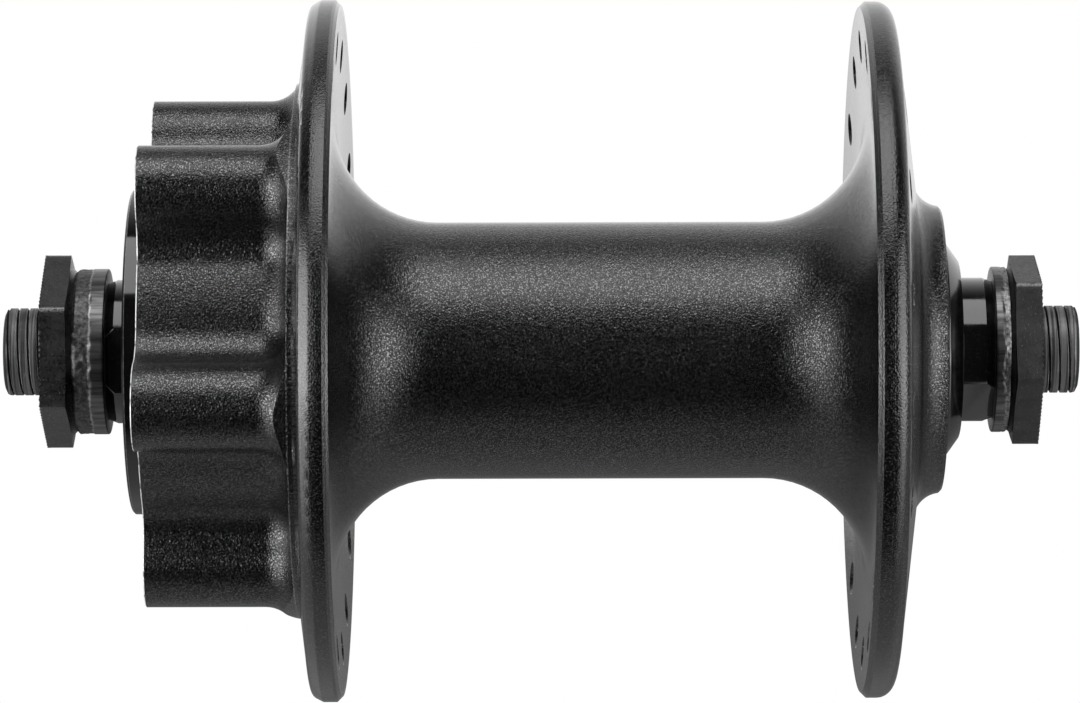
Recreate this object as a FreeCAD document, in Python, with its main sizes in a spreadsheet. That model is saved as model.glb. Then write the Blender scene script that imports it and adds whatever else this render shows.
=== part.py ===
import FreeCAD, Part
import math
import os
import re

import Sketcher
from FreeCAD import Placement, Rotation, Vector

# Bicycle front hub for a six-bolt disc brake rotor: loose balls run between cups pressed
# into an aluminium shell and cones screwed onto a hollow axle.
# Frame in millimetres: the axle lies along Y, +Y is the disc side (the left side), +Z is
# up, and the origin is on the axle's centre line, midway between the lock nuts.

SIZES = {
    # Axle
    "axle_stick_out": 4.0,
    "axle_diameter": 8.8,
    "axle_bore": 5.2,
    "axle_chamfer": 0.55,
    "thread_half_depth": 0.225,
    "thread_clearance": 0.03,
    # Lock nuts
    "over_locknut_width": 100.0,
    "nut_thickness": 3.2,
    "nut_across_flats": 17.0,
    "nut_turned_diameter": 19.5,
    "nut_chamfer_diameter": 16.9,
    "nut_chamfer_height": 0.5,
    "nut_mouth_diameter": 9.3,
    "nut_mouth_depth": 0.5,
    "left_nut_angle": 25.8,
    "right_nut_angle": 18.1,
    # Washers between nut and cone
    "washer_diameter": 16.7,
    "left_washer_thickness": 3.2,
    "right_washer_thickness": 1.45,
    "washer_rounding": 0.25,
    "washer_clearance": 0.1,
    # Balls
    "ball_diameter": 4.7625,
    "balls_per_side": 11,
    "ball_circle_diameter": 17.8,
    "contact_angle": 45.0,
    "race_radius": 2.48,
    "ball_clearance": 0.05,
    # Cones
    "cone_diameter": 14.5,
    "cone_chamfer_depth": 0.35,
    "cone_chamfer_length": 0.9,
    "cone_flats_width": 13.0,
    "left_cone_flats_angle": 81.5,
    "right_cone_flats_angle": 145.0,
    "cone_shoulder_diameter": 16.4,
    "cone_seat_length": 6.2,
    "cone_ball_offset": 9.95,
    "cone_nose_length": 1.6,
    # Dust covers on the cones
    "cover_face_margin": 0.6,
    "cover_skirt_height": 2.1,
    "cover_face_depth": 3.3,
    "cover_slope_length": 1.5,
    "cover_edge_width": 0.45,
    "cover_sheet": 0.7,
    # Rubber seal rings on the cones
    "seal_wall": 1.05,
    "seal_lip_height": 1.3,
    "seal_lip_width": 0.5,
    "seal_lip_slope": 0.25,
    # Bearing cups
    "cup_diameter": 25.0,
    "cup_rim_length": 2.6,
    "cup_back_length": 3.8,
    "cup_hole_diameter": 15.2,
    "cup_corner_radius": 1.0,
    # Dust caps in the shell
    "cap_diameter": 26.0,
    "cap_depth": 1.8,
    "cap_sheet": 0.8,
    "cap_seal_gap": 0.3,
    "seat_clearance": 0.01,
    # Shell barrel and bore
    "barrel_diameter": 25.9,
    "shell_bore": 20.8,
    "mouth_chamfer": 0.25,
    # Spoke flanges
    "left_flange_diameter": 70.8,
    "left_flange_inner_face": 20.06,
    "left_flange_rim_width": 1.86,
    "left_rim_rounding": 1.2,
    "left_barrel_fillet": 10.45,
    "right_flange_diameter": 70.2,
    "right_flange_inner_face": 32.02,
    "right_flange_rim_width": 1.55,
    "right_rim_rounding": 1.7,
    "right_barrel_fillet": 10.5,
    "rim_chamfer": 0.56,
    "flange_slope": 0.13,
    "flange_dish_angle": 4.3,
    # Plain-side collar
    "collar_diameter": 29.0,
    "collar_face": 40.2,
    "collar_fillet": 3.05,
    # Spoke holes
    "spokes_per_flange": 18,
    "spoke_holes_angle": 1.2,
    "spoke_edge_distance": 4.6,
    "spoke_hole_diameter": 2.6,
    "countersink_diameter": 3.4,
    # Rotor boss
    "base_disc_diameter": 54.0,
    "base_disc_face": 24.45,
    "boss_face": 39.5,
    "boss_floor_diameter": 38.4,
    "rotor_bolt_circle": 44.0,
    "rotor_bolts": 6,
    "lobe_diameter": 8.8,
    "lobe_angle": 46.0,
    "lobe_fillet": 4.0,
    "boss_foot_fillet": 3.1,
    "rotor_thread_diameter": 4.2,
    "rotor_hole_depth": 11.0,
    "rotor_hole_chamfer": 0.4,
    "spigot_diameter": 32.9,
    "spigot_face": 41.1,
    "spigot_chamfer": 0.2,
}

PLACES = {
    "axle_radius": "axle_diameter / 2",
    "engaged_radius": "axle_radius - thread_half_depth",
    "screw_radius": "engaged_radius + thread_clearance",
    "washer_hole_radius": "axle_radius + washer_clearance",
    "locknut_face": "over_locknut_width / 2",
    "axle_end": "locknut_face + axle_stick_out",
    "nut_inner_face": "locknut_face - nut_thickness",
    "left_cone_face": "nut_inner_face - left_washer_thickness",
    "right_cone_face": "nut_inner_face - right_washer_thickness",
    "left_ball_plane": "left_cone_face - cone_ball_offset",
    "right_ball_plane": "right_cone_face - cone_ball_offset",
    "ball_circle_radius": "ball_circle_diameter / 2",
    "race_shift": "race_radius - ball_diameter / 2 - ball_clearance",
    "race_shift_along": "race_shift * cos(contact_angle)",
    "race_shift_across": "race_shift * sin(contact_angle)",
    "cone_race_centre": "ball_circle_radius + race_shift_across",
    "cone_race_drop": "cone_race_centre - cone_shoulder_diameter / 2",
    "cup_race_centre": "ball_circle_radius - race_shift_across",
    "cover_inner_face": "cover_face_depth + cover_sheet",
    "cover_face_radius": "seal_body_radius + cover_face_margin",
    "cover_radius": "cover_face_radius + cover_skirt_height",
    "cover_inner_radius": "cover_face_radius - cover_sheet / 2",
    "cap_face": "cup_rim_length + cap_depth",
    "seal_body_radius": "cone_diameter / 2 + seal_wall",
    "seal_lip_radius": "seal_body_radius + seal_lip_height",
    "cap_hole_radius": "seal_lip_radius + cap_seal_gap",
    "cup_seat_radius": "cup_diameter / 2 + seat_clearance",
    "cap_seat_radius": "cap_diameter / 2 + seat_clearance",
    "seal_lip_place": "cone_ball_offset - cap_face + cap_sheet / 2",
    "barrel_radius": "barrel_diameter / 2",
    "left_rim_radius": "left_flange_diameter / 2",
    "right_rim_radius": "right_flange_diameter / 2",
    "left_rim_end": "left_flange_inner_face + left_flange_rim_width",
    "right_rim_end": "right_flange_inner_face + right_flange_rim_width",
    "spoke_circle_radius": "min(left_rim_radius; right_rim_radius) - spoke_edge_distance",
    "left_face_at_rim": "left_rim_end + left_rim_rounding",
    "right_face_at_rim": "right_rim_end + right_rim_rounding",
    "left_face_at_spokes":
        "left_face_at_rim + flange_slope * (left_rim_radius - left_rim_rounding - spoke_circle_radius)",
    "right_face_at_spokes":
        "right_face_at_rim + flange_slope * (right_rim_radius - right_rim_rounding - spoke_circle_radius)",
    "hidden_flange_radius": "base_disc_diameter / 2 - 1",
    "hidden_flange_face":
        "left_face_at_rim + flange_slope * (left_rim_radius - left_rim_rounding - hidden_flange_radius)",
    "collar_radius": "collar_diameter / 2",
    "collar_foot_radius": "collar_radius + collar_fillet",
    "collar_fillet_face":
        "right_face_at_rim + flange_slope * (right_rim_radius - right_rim_rounding - collar_foot_radius)",
    "foot_fillet": "min(boss_foot_fillet; lobe_fillet * 0.9)",
    "wide_base_radius": "rotor_bolt_circle / 2 + lobe_diameter / 2 + boss_foot_fillet + 1.5",
}


def inner_face_places(side):
    """The places on one flange's dished inner face, which leans out from its rim edge to the
    round that joins it to the barrel."""
    face = side + "_flange_inner_face"
    fillet_radius = side + "_barrel_fillet"
    edge = side + "_edge_radius"
    centre = side + "_fillet_centre"
    rise = face + " + tan(flange_dish_angle) * (" + edge + " - "
    return {
        edge: side + "_rim_radius - rim_chamfer",
        side + "_inner_face_at_spokes": rise + "spoke_circle_radius)",
        centre + "_radius": "barrel_radius + " + fillet_radius,
        centre: rise + centre + "_radius) - " + fillet_radius + " / cos(flange_dish_angle)",
        side + "_fillet_top_radius": centre + "_radius + " + fillet_radius + " * sin(flange_dish_angle)",
        side + "_fillet_top": centre + " + " + fillet_radius + " * cos(flange_dish_angle)",
    }


PLACES.update(inner_face_places("left"))
PLACES.update(inner_face_places("right"))


def prefixed(text):
    """Points each name in a formula at the sheet that holds it."""

    def sheet_name(match):
        word = match.group(0)
        if word in SIZES:
            return "Sizes." + word
        if word in PLACES:
            return "Places." + word
        return word

    return re.sub(r"[a-z_]+", sheet_name, text)


def make_sheets(doc):
    """Writes the driving sizes as plain numbers, and the places that follow from them."""
    sizes = doc.addObject("Spreadsheet::Sheet", "Sizes")
    for row, (alias, number) in enumerate(SIZES.items(), start=1):
        sizes.set("A%d" % row, alias)
        sizes.set("B%d" % row, str(number))
        sizes.setAlias("B%d" % row, alias)
    places = doc.addObject("Spreadsheet::Sheet", "Places")
    for row, alias in enumerate(PLACES, start=1):
        places.set("A%d" % row, alias)
        places.setAlias("B%d" % row, alias)
    for row, formula in enumerate(PLACES.values(), start=1):
        places.set("B%d" % row, "=" + prefixed(formula))
    doc.recompute()


def value(item, text):
    """The present value of a formula of sizes and places."""
    return float(item.evalExpression(prefixed(text)))


def origin_feature(body, role):
    """A plane or axis of the body's own origin."""
    for feature in body.Origin.OriginFeatures:
        if feature.Role == role:
            return feature
    raise ValueError("no origin feature " + role)


def new_body(doc, label, along="0", half_turn=False, spin="0"):
    """An empty body, placed along the axle, turned about it and perhaps facing the other way."""
    body = doc.addObject("PartDesign::Body", label)
    body.Label = label
    facing = Rotation(Vector(0, 0, 1), 180 if half_turn else 0)
    turned = Rotation(Vector(0, 1, 0), value(body, spin))
    body.Placement = Placement(Vector(0, 0, 0), facing.multiply(turned))
    body.setExpression("Placement.Base.y", prefixed(along))
    return body


def new_sketch(body, name, role="XY_Plane", along="0", spin="0"):
    """A sketch on a plane of the body's origin, moved along the plane's normal or turned
    about the axle."""
    sketch = body.newObject("Sketcher::SketchObject", name)
    sketch.AttachmentSupport = [(origin_feature(body, role), "")]
    sketch.MapMode = "FlatFace"
    sketch.AttachmentOffset = Placement(Vector(0, 0, 0), Rotation(Vector(0, 1, 0), value(body, spin)))
    if along != "0":
        sketch.setExpression("AttachmentOffset.Base.z", prefixed("-(" + along + ")"))
    return sketch


def bind(sketch, constraint, formula):
    """Adds a constraint and ties its value to a formula."""
    index = sketch.addConstraint(constraint)
    sketch.setExpression("Constraints[%d]" % index, prefixed(formula))


def fix_point(sketch, geometry, point, across, along):
    """Holds a point of the sketch at formulas for its two coordinates."""
    for formula, kind, axis in ((across, "DistanceX", -2), (along, "DistanceY", -1)):
        if formula == "0":
            sketch.addConstraint(Sketcher.Constraint("PointOnObject", geometry, point, axis))
        else:
            number = value(sketch, formula)
            bind(sketch, Sketcher.Constraint(kind, -1, 1, geometry, point, number), formula)


def arc_between(start, end, radius, turn):
    """The short arc from start to end, turning left (+1) or right (-1) as it goes."""
    chord = end - start
    height = math.sqrt(max(radius * radius - chord.Length ** 2 / 4, 0.0))
    side = Vector(-chord.y, chord.x, 0).normalize() * turn
    centre = (start + end) * 0.5 + side * height
    first, last = (start, end) if turn > 0 else (end, start)
    first_angle = math.atan2(first.y - centre.y, first.x - centre.x)
    last_angle = math.atan2(last.y - centre.y, last.x - centre.x)
    circle = Part.Circle(centre, Vector(0, 0, 1), radius)
    return Part.ArcOfCircle(circle, first_angle, last_angle)


def add_outline(sketch, corners):
    """Closes an outline through corners (across, along). A corner may go on with a radius and
    a turn, and the edge that leaves it is then an arc."""
    points = [Vector(value(sketch, c[0]), value(sketch, c[1]), 0) for c in corners]
    ends = []
    for index, corner in enumerate(corners):
        start = points[index]
        end = points[(index + 1) % len(points)]
        if len(corner) == 2:
            geometry = sketch.addGeometry(Part.LineSegment(start, end), False)
            ends.append((geometry, 1, 2))
            continue
        radius, turn = corner[2:]
        geometry = sketch.addGeometry(arc_between(start, end, value(sketch, radius), turn), False)
        ends.append((geometry, 1, 2) if turn > 0 else (geometry, 2, 1))
        bind(sketch, Sketcher.Constraint("Radius", geometry, value(sketch, radius)), radius)
    for index, corner in enumerate(corners):
        geometry, first, last = ends[index]
        following, following_first, _ = ends[(index + 1) % len(ends)]
        sketch.addConstraint(Sketcher.Constraint("Coincident", geometry, last, following, following_first))
        fix_point(sketch, geometry, first, corner[0], corner[1])


def add_circle(sketch, across, along, diameter):
    """A circle with its centre and diameter held by formulas."""
    centre = Vector(value(sketch, across), value(sketch, along), 0)
    radius = value(sketch, diameter) / 2
    geometry = sketch.addGeometry(Part.Circle(centre, Vector(0, 0, 1), radius), False)
    bind(sketch, Sketcher.Constraint("Diameter", geometry, 2 * radius), diameter)
    fix_point(sketch, geometry, 3, across, along)


def turn_outline(body, name, corners, kind="PartDesign::Revolution"):
    """Turns an outline of (radius, place along the axle) about the axle, to add or to cut."""
    sketch = new_sketch(body, name + "Sketch")
    add_outline(sketch, corners)
    feature = body.newObject(kind, name)
    feature.Profile = sketch
    feature.ReferenceAxis = (sketch, ["V_Axis"])
    feature.Angle = 360
    return feature


def drill(body, name, across, corners, spin, count):
    """Turns a hole's outline (radius, place along the axle) about the hole's own axis, as a
    cut, and repeats it round the axle."""
    sketch = new_sketch(body, name + "Sketch", spin=spin)
    add_outline(sketch, [("%s + %s" % (across, corner[0]), corner[1]) for corner in corners])
    low = Vector(value(sketch, across), value(sketch, corners[0][1]), 0)
    high = Vector(value(sketch, across), value(sketch, corners[-1][1]), 0)
    axis = sketch.addGeometry(Part.LineSegment(low, high), True)
    fix_point(sketch, axis, 1, across, corners[0][1])
    fix_point(sketch, axis, 2, across, corners[-1][1])
    cut = body.newObject("PartDesign::Groove", name)
    cut.Profile = sketch
    cut.ReferenceAxis = (sketch, ["Axis0"])
    cut.Angle = 360
    repeat_round(body, name + "Pattern", [cut], count)


def repeat_round(body, name, features, count):
    """Repeats features evenly round the axle."""
    pattern = body.newObject("PartDesign::PolarPattern", name)
    pattern.Originals = features
    pattern.Axis = (origin_feature(body, "Y_Axis"), [""])
    pattern.Angle = 360
    pattern.setExpression("Occurrences", prefixed(count))
    body.Tip = pattern
    return pattern


def pad(body, name, sketch, length):
    """Pads a sketch on the XZ plane towards +Y."""
    feature = body.newObject("PartDesign::Pad", name)
    feature.Profile = sketch
    feature.setExpression("Length", prefixed(length))
    feature.Reversed = True
    return feature


def make_axle(doc):
    """Hollow axle. Its free ends have the thread's outer diameter, and where the thread is
    engaged, between the lock nuts' outer faces, it has the thread's pitch diameter."""
    body = new_body(doc, "axle")
    side = [
        ("axle_bore / 2", "axle_end"),
        ("axle_radius - axle_chamfer", "axle_end"),
        ("axle_radius", "axle_end - axle_chamfer"),
        ("axle_radius", "locknut_face"),
        ("engaged_radius", "locknut_face"),
    ]
    mirrored = [(across, "-(%s)" % along) for across, along in reversed(side)]
    turn_outline(body, "AxleTurning", side + mirrored)
    return body


def make_lock_nut(doc, label, angle, half_turn):
    """Hexagonal lock nut, its corners turned round, its inner edge chamfered and its thread
    opened at the mouth. It is drawn on the disc side, with its outer face at the
    over-locknut width."""
    along = "-locknut_face" if half_turn else "locknut_face"
    body = new_body(doc, label, along, half_turn, angle)
    sketch = new_sketch(body, "Hexagon", "XZ_Plane", along="-nut_thickness")
    corner_radius = "nut_across_flats / 2 / cos(30)"
    radius = value(sketch, corner_radius)
    circle = sketch.addGeometry(Part.Circle(Vector(0, 0, 0), Vector(0, 0, 1), radius), True)
    sketch.addConstraint(Sketcher.Constraint("Coincident", circle, 3, -1, 1))
    bind(sketch, Sketcher.Constraint("Radius", circle, radius), corner_radius)
    corners = [Vector(radius * math.cos(k * math.pi / 3), radius * math.sin(k * math.pi / 3), 0)
               for k in range(6)]
    sides = [sketch.addGeometry(Part.LineSegment(corners[k], corners[(k + 1) % 6]), False)
             for k in range(6)]
    for k, edge in enumerate(sides):
        sketch.addConstraint(Sketcher.Constraint("Coincident", edge, 2, sides[(k + 1) % 6], 1))
        sketch.addConstraint(Sketcher.Constraint("PointOnObject", edge, 1, circle))
        if k:
            sketch.addConstraint(Sketcher.Constraint("Equal", sides[0], edge))
    sketch.addConstraint(Sketcher.Constraint("PointOnObject", sides[0], 1, -1))
    pad(body, "HexagonPad", sketch, "nut_thickness")
    turn_outline(body, "CornerTurning", [
        ("nut_chamfer_diameter / 2", "-nut_thickness"),
        ("nut_turned_diameter / 2", "nut_chamfer_height - nut_thickness"),
        ("nut_turned_diameter / 2", "1"),
        ("nut_across_flats", "1"),
        ("nut_across_flats", "-nut_thickness"),
    ], "PartDesign::Groove")
    turn_outline(body, "ThreadBore", [
        ("0", "1"),
        ("0", "-nut_thickness - 1"),
        ("screw_radius", "-nut_thickness - 1"),
        ("screw_radius", "-nut_mouth_depth"),
        ("nut_mouth_diameter / 2", "0"),
        ("nut_mouth_diameter / 2", "1"),
    ], "PartDesign::Groove")
    return body


def make_washer(doc, label, thickness, half_turn):
    """Stamped washer with rounded outer corners, drawn inwards from the nut's inner face."""
    along = "-nut_inner_face" if half_turn else "nut_inner_face"
    body = new_body(doc, label, along, half_turn)
    turn_outline(body, "WasherTurning", [
        ("washer_hole_radius", "-" + thickness),
        ("washer_diameter / 2 - washer_rounding", "-" + thickness, "washer_rounding", 1),
        ("washer_diameter / 2", "washer_rounding - " + thickness),
        ("washer_diameter / 2", "-washer_rounding", "washer_rounding", 1),
        ("washer_diameter / 2 - washer_rounding", "0"),
        ("washer_hole_radius", "0"),
    ])
    return body


def make_cone(doc, label, cone_face, half_turn, flats_angle):
    """Bearing cone, drawn inwards from its outer face: a barrel with two wrench flats, a
    shoulder that the covers seat on, the ball race and the nose."""
    along = "-" + cone_face if half_turn else cone_face
    body = new_body(doc, label, along, half_turn, flats_angle)
    race_foot = "-(cone_ball_offset + race_shift_along)"
    race_top = ("sqrt(race_radius ^ 2 - cone_race_drop ^ 2) - cone_ball_offset - race_shift_along")
    nose_end = "-(cone_ball_offset + cone_nose_length)"
    turn_outline(body, "ConeTurning", [
        ("screw_radius", nose_end),
        ("cone_race_centre - race_radius", nose_end),
        ("cone_race_centre - race_radius", race_foot, "race_radius", -1),
        ("cone_shoulder_diameter / 2", race_top),
        ("cone_shoulder_diameter / 2", "-cone_seat_length"),
        ("cone_diameter / 2", "-cone_seat_length"),
        ("cone_diameter / 2", "-cone_chamfer_length"),
        ("cone_diameter / 2 - cone_chamfer_depth", "0"),
        ("screw_radius", "0"),
    ])
    for name, side in (("UpperFlat", "1"), ("LowerFlat", "-1")):
        sketch = new_sketch(body, name + "Sketch", "XZ_Plane", along="-cover_face_depth")
        add_outline(sketch, [
            ("cone_diameter", "%s * cone_flats_width / 2" % side),
            ("cone_diameter", "%s * cone_diameter" % side),
            ("-cone_diameter", "%s * cone_diameter" % side),
            ("-cone_diameter", "%s * cone_flats_width / 2" % side),
        ])
        cut = body.newObject("PartDesign::Pocket", name)
        cut.Profile = sketch
        cut.setExpression("Length", prefixed("cover_face_depth + 1"))
        cut.Reversed = False
    return body


def make_cone_cover(doc, label, cone_face, half_turn):
    """Pressed dust cover, a flat face with a sloping skirt, drawn inwards from the outer
    face of its cone."""
    along = "-" + cone_face if half_turn else cone_face
    body = new_body(doc, label, along, half_turn)
    skirt_top = "-(cover_face_depth + cover_slope_length)"
    skirt_end = "-(cover_face_depth + cover_slope_length + cover_edge_width)"
    turn_outline(body, "CoverTurning", [
        ("cone_diameter / 2 + seat_clearance", "-cover_inner_face"),
        ("cover_inner_radius", "-cover_inner_face"),
        ("cover_radius - cover_sheet", skirt_end),
        ("cover_radius", skirt_end),
        ("cover_radius", skirt_top),
        ("cover_face_radius", "-cover_face_depth"),
        ("cone_diameter / 2 + seat_clearance", "-cover_face_depth"),
    ])
    return body


def make_seal_ring(doc, label, cone_face, half_turn):
    """Rubber ring held between the dust cover and the cone's shoulder, with a lip that runs
    inside the hole of the shell's dust cap."""
    along = "-" + cone_face if half_turn else cone_face
    body = new_body(doc, label, along, half_turn)
    turn_outline(body, "SealTurning", [
        ("cone_diameter / 2 + seat_clearance", "-cone_seat_length"),
        ("seal_body_radius", "-cone_seat_length"),
        ("seal_lip_radius", "-(seal_lip_place + seal_lip_width / 2)"),
        ("seal_lip_radius", "-(seal_lip_place - seal_lip_width / 2)"),
        ("seal_body_radius", "-(seal_lip_place - seal_lip_width / 2 - seal_lip_slope)"),
        ("seal_body_radius", "-cover_inner_face"),
        ("cone_diameter / 2 + seat_clearance", "-cover_inner_face"),
    ])
    return body


def make_cup(doc, label, ball_plane, half_turn):
    """Pressed bearing cup, drawn about its ball plane, with its race facing the cone."""
    along = "-" + ball_plane if half_turn else ball_plane
    body = new_body(doc, label, along, half_turn)
    turn_outline(body, "CupTurning", [
        ("cup_hole_diameter / 2", "-cup_back_length"),
        ("cup_diameter / 2 - cup_corner_radius", "-cup_back_length", "cup_corner_radius", 1),
        ("cup_diameter / 2", "cup_corner_radius - cup_back_length"),
        ("cup_diameter / 2", "cup_rim_length"),
        ("cup_race_centre + race_radius", "cup_rim_length"),
        ("cup_race_centre + race_radius", "race_shift_along", "race_radius", -1),
        ("cup_race_centre", "race_shift_along - race_radius"),
        ("cup_hole_diameter / 2", "race_shift_along - race_radius"),
    ])
    return body


def make_ball_set(doc, label, ball_plane, half_turn):
    """Loose balls, evenly spaced round the axle in their ball plane."""
    along = "-" + ball_plane if half_turn else ball_plane
    body = new_body(doc, label, along, half_turn)
    body.AllowCompound = True
    ball = body.newObject("PartDesign::AdditiveSphere", "Ball")
    ball.setExpression("Radius", prefixed("ball_diameter / 2"))
    ball.setExpression("Placement.Base.x", prefixed("ball_circle_radius"))
    doc.recompute()
    repeat_round(body, "BallPattern", [ball], "balls_per_side")
    return body


def make_shell_cap(doc, label, ball_plane, half_turn):
    """Pressed dust cap in the mouth of the shell, its rim resting on the cup."""
    along = "-" + ball_plane if half_turn else ball_plane
    body = new_body(doc, label, along, half_turn)
    turn_outline(body, "CapTurning", [
        ("cap_diameter / 2 - cap_sheet", "cup_rim_length"),
        ("cap_diameter / 2", "cup_rim_length"),
        ("cap_diameter / 2", "cap_face - cap_sheet", "cap_sheet", 1),
        ("cap_diameter / 2 - cap_sheet", "cap_face"),
        ("cap_hole_radius", "cap_face"),
        ("cap_hole_radius", "cap_face - cap_sheet"),
        ("cap_diameter / 2 - cap_sheet", "cap_face - cap_sheet"),
    ])
    return body


def boss_edges(body, shape):
    """Names of the upright edges in the corners between the lobes and the boss floor."""
    floor_radius = value(body, "boss_floor_diameter / 2")
    names = []
    for number, edge in enumerate(shape.Edges, start=1):
        points = [vertex.Point for vertex in edge.Vertexes]
        if len(points) != 2 or abs(points[0].y - points[1].y) < 1:
            continue
        on_floor = all(abs(math.hypot(p.x, p.z) - floor_radius) < 1e-4 for p in points)
        lone = abs(points[0].x - points[1].x) + abs(points[0].z - points[1].z) < 1e-6
        if on_floor and lone and not is_seam(shape, edge):
            names.append("Edge%d" % number)
    return names


def is_seam(shape, edge):
    """Whether an edge only closes one round face onto itself."""
    return len(shape.ancestorsOfType(edge, Part.Face)) < 2


def foot_edges(body, shape):
    """Names of the edges where the boss stands on its base disc."""
    face = value(body, "base_disc_face")
    widest = value(body, "wide_base_radius")
    names = []
    for number, edge in enumerate(shape.Edges, start=1):
        box = edge.BoundBox
        level = abs(box.YMin - face) < 1e-4 and abs(box.YMax - face) < 1e-4
        if level and max(box.XMax, -box.XMin, box.ZMax, -box.ZMin) < widest - 0.5:
            names.append("Edge%d" % number)
    return names


def fillet(body, name, base, names, radius):
    """Rounds the named edges of a feature."""
    feature = body.newObject("PartDesign::Fillet", name)
    feature.Base = (base, names)
    feature.setExpression("Radius", prefixed(radius))
    return feature


def make_rotor_boss(doc, body):
    """The six-lobed boss that carries the brake rotor. It is raised on an extra wide disc,
    which is then turned down to its real size through the foot fillet."""
    start = "left_rim_end"
    disc = new_sketch(body, "BaseDisc", "XZ_Plane", along=start)
    add_circle(disc, "0", "0", "2 * wide_base_radius")
    pad(body, "BaseDiscPad", disc, "base_disc_face - " + start)
    floor = new_sketch(body, "BossFloor", "XZ_Plane", along=start)
    add_circle(floor, "0", "0", "boss_floor_diameter")
    pad(body, "BossFloorPad", floor, "boss_face - " + start)
    lobe = new_sketch(body, "Lobe", "XZ_Plane", along=start)
    across = "rotor_bolt_circle / 2 * cos(lobe_angle)"
    upward = "-rotor_bolt_circle / 2 * sin(lobe_angle)"
    add_circle(lobe, across, upward, "lobe_diameter")
    lobe_pad = pad(body, "LobePad", lobe, "boss_face - " + start)
    doc.recompute()
    lobes = repeat_round(body, "Lobes", [lobe_pad], "rotor_bolts")
    doc.recompute()
    upright = fillet(body, "LobeFillet", lobes, boss_edges(body, lobes.Shape), "lobe_fillet")
    doc.recompute()
    foot = fillet(body, "FootFillet", upright, foot_edges(body, upright.Shape), "foot_fillet")
    body.Tip = foot
    doc.recompute()
    turn_outline(body, "BaseTurning", [
        ("base_disc_diameter / 2", "left_rim_end - 1"),
        ("base_disc_diameter / 2", "boss_face - 1"),
        ("wide_base_radius + 2", "boss_face - 1"),
        ("wide_base_radius + 2", "left_rim_end - 1"),
    ], "PartDesign::Groove")
    turn_outline(body, "Spigot", [
        ("0", "boss_face - 1"),
        ("0", "spigot_face"),
        ("spigot_diameter / 2 - spigot_chamfer", "spigot_face"),
        ("spigot_diameter / 2", "spigot_face - spigot_chamfer"),
        ("spigot_diameter / 2", "boss_face - 1"),
    ])


def make_flanged_barrel(body):
    """The barrel with its two spoke flanges and the plain-side collar, turned in one."""
    turn_outline(body, "FlangedBarrel", [
        ("0", "-collar_face"),
        ("collar_radius - mouth_chamfer", "-collar_face"),
        ("collar_radius", "mouth_chamfer - collar_face", "collar_fillet", -1),
        ("collar_foot_radius", "-collar_fillet_face"),
        ("right_rim_radius - right_rim_rounding", "-right_face_at_rim", "right_rim_rounding", 1),
        ("right_rim_radius", "-right_rim_end"),
        ("right_rim_radius", "-(right_flange_inner_face + rim_chamfer)"),
        ("right_edge_radius", "-right_flange_inner_face"),
        ("right_fillet_top_radius", "-right_fillet_top", "right_barrel_fillet", -1),
        ("barrel_radius", "-right_fillet_centre"),
        ("barrel_radius", "left_fillet_centre", "left_barrel_fillet", -1),
        ("left_fillet_top_radius", "left_fillet_top"),
        ("left_edge_radius", "left_flange_inner_face"),
        ("left_rim_radius", "left_flange_inner_face + rim_chamfer"),
        ("left_rim_radius", "left_rim_end", "left_rim_rounding", 1),
        ("left_rim_radius - left_rim_rounding", "left_face_at_rim"),
        ("hidden_flange_radius", "hidden_flange_face"),
        ("0", "hidden_flange_face"),
    ])


def bore_shell(body):
    """The stepped bore: a clear middle, then the seats of the cups and of the dust caps."""
    turn_outline(body, "SteppedBore", [
        ("0", "-(collar_face + 1)"),
        ("cap_seat_radius", "-(collar_face + 1)"),
        ("cap_seat_radius", "-(right_ball_plane + cup_rim_length)"),
        ("cup_seat_radius", "-(right_ball_plane + cup_rim_length)"),
        ("cup_seat_radius", "-(right_ball_plane - cup_back_length)"),
        ("shell_bore / 2", "-(right_ball_plane - cup_back_length)"),
        ("shell_bore / 2", "left_ball_plane - cup_back_length"),
        ("cup_seat_radius", "left_ball_plane - cup_back_length"),
        ("cup_seat_radius", "left_ball_plane + cup_rim_length"),
        ("cap_seat_radius", "left_ball_plane + cup_rim_length"),
        ("cap_seat_radius", "spigot_face + 1"),
        ("0", "spigot_face + 1"),
    ], "PartDesign::Groove")


def drill_spoke_holes(body, name, facing, inner_face, outer_face, spin):
    """A ring of spoke holes, countersunk on both faces of the flange. The sign that the
    flange faces goes before each place along the axle."""
    hole = "spoke_hole_diameter / 2"
    sink = "(countersink_diameter - spoke_hole_diameter) / 2"
    wide = "(countersink_diameter - spoke_hole_diameter / 2)"
    steps = [
        ("0", inner_face + " - " + sink),
        (wide, inner_face + " - " + sink),
        (hole, inner_face + " + " + sink),
        (hole, outer_face + " - " + sink),
        (wide, outer_face + " + " + sink),
        ("0", outer_face + " + " + sink),
    ]
    corners = [(across, "%s(%s)" % (facing, along)) for across, along in steps]
    drill(body, name, "spoke_circle_radius", corners, spin, "spokes_per_flange")


def drill_rotor_holes(body):
    """Blind threaded holes for the rotor bolts, one in each lobe."""
    radius = "rotor_thread_diameter / 2"
    bottom = "boss_face - rotor_hole_depth"
    drill(body, "RotorHole", "rotor_bolt_circle / 2", [
        ("0", "%s - %s / 2" % (bottom, radius)),
        (radius, bottom),
        (radius, "boss_face - rotor_hole_chamfer"),
        (radius + " + 2 * rotor_hole_chamfer", "boss_face + rotor_hole_chamfer"),
        ("0", "boss_face + rotor_hole_chamfer"),
    ], "lobe_angle", "rotor_bolts")


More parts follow.
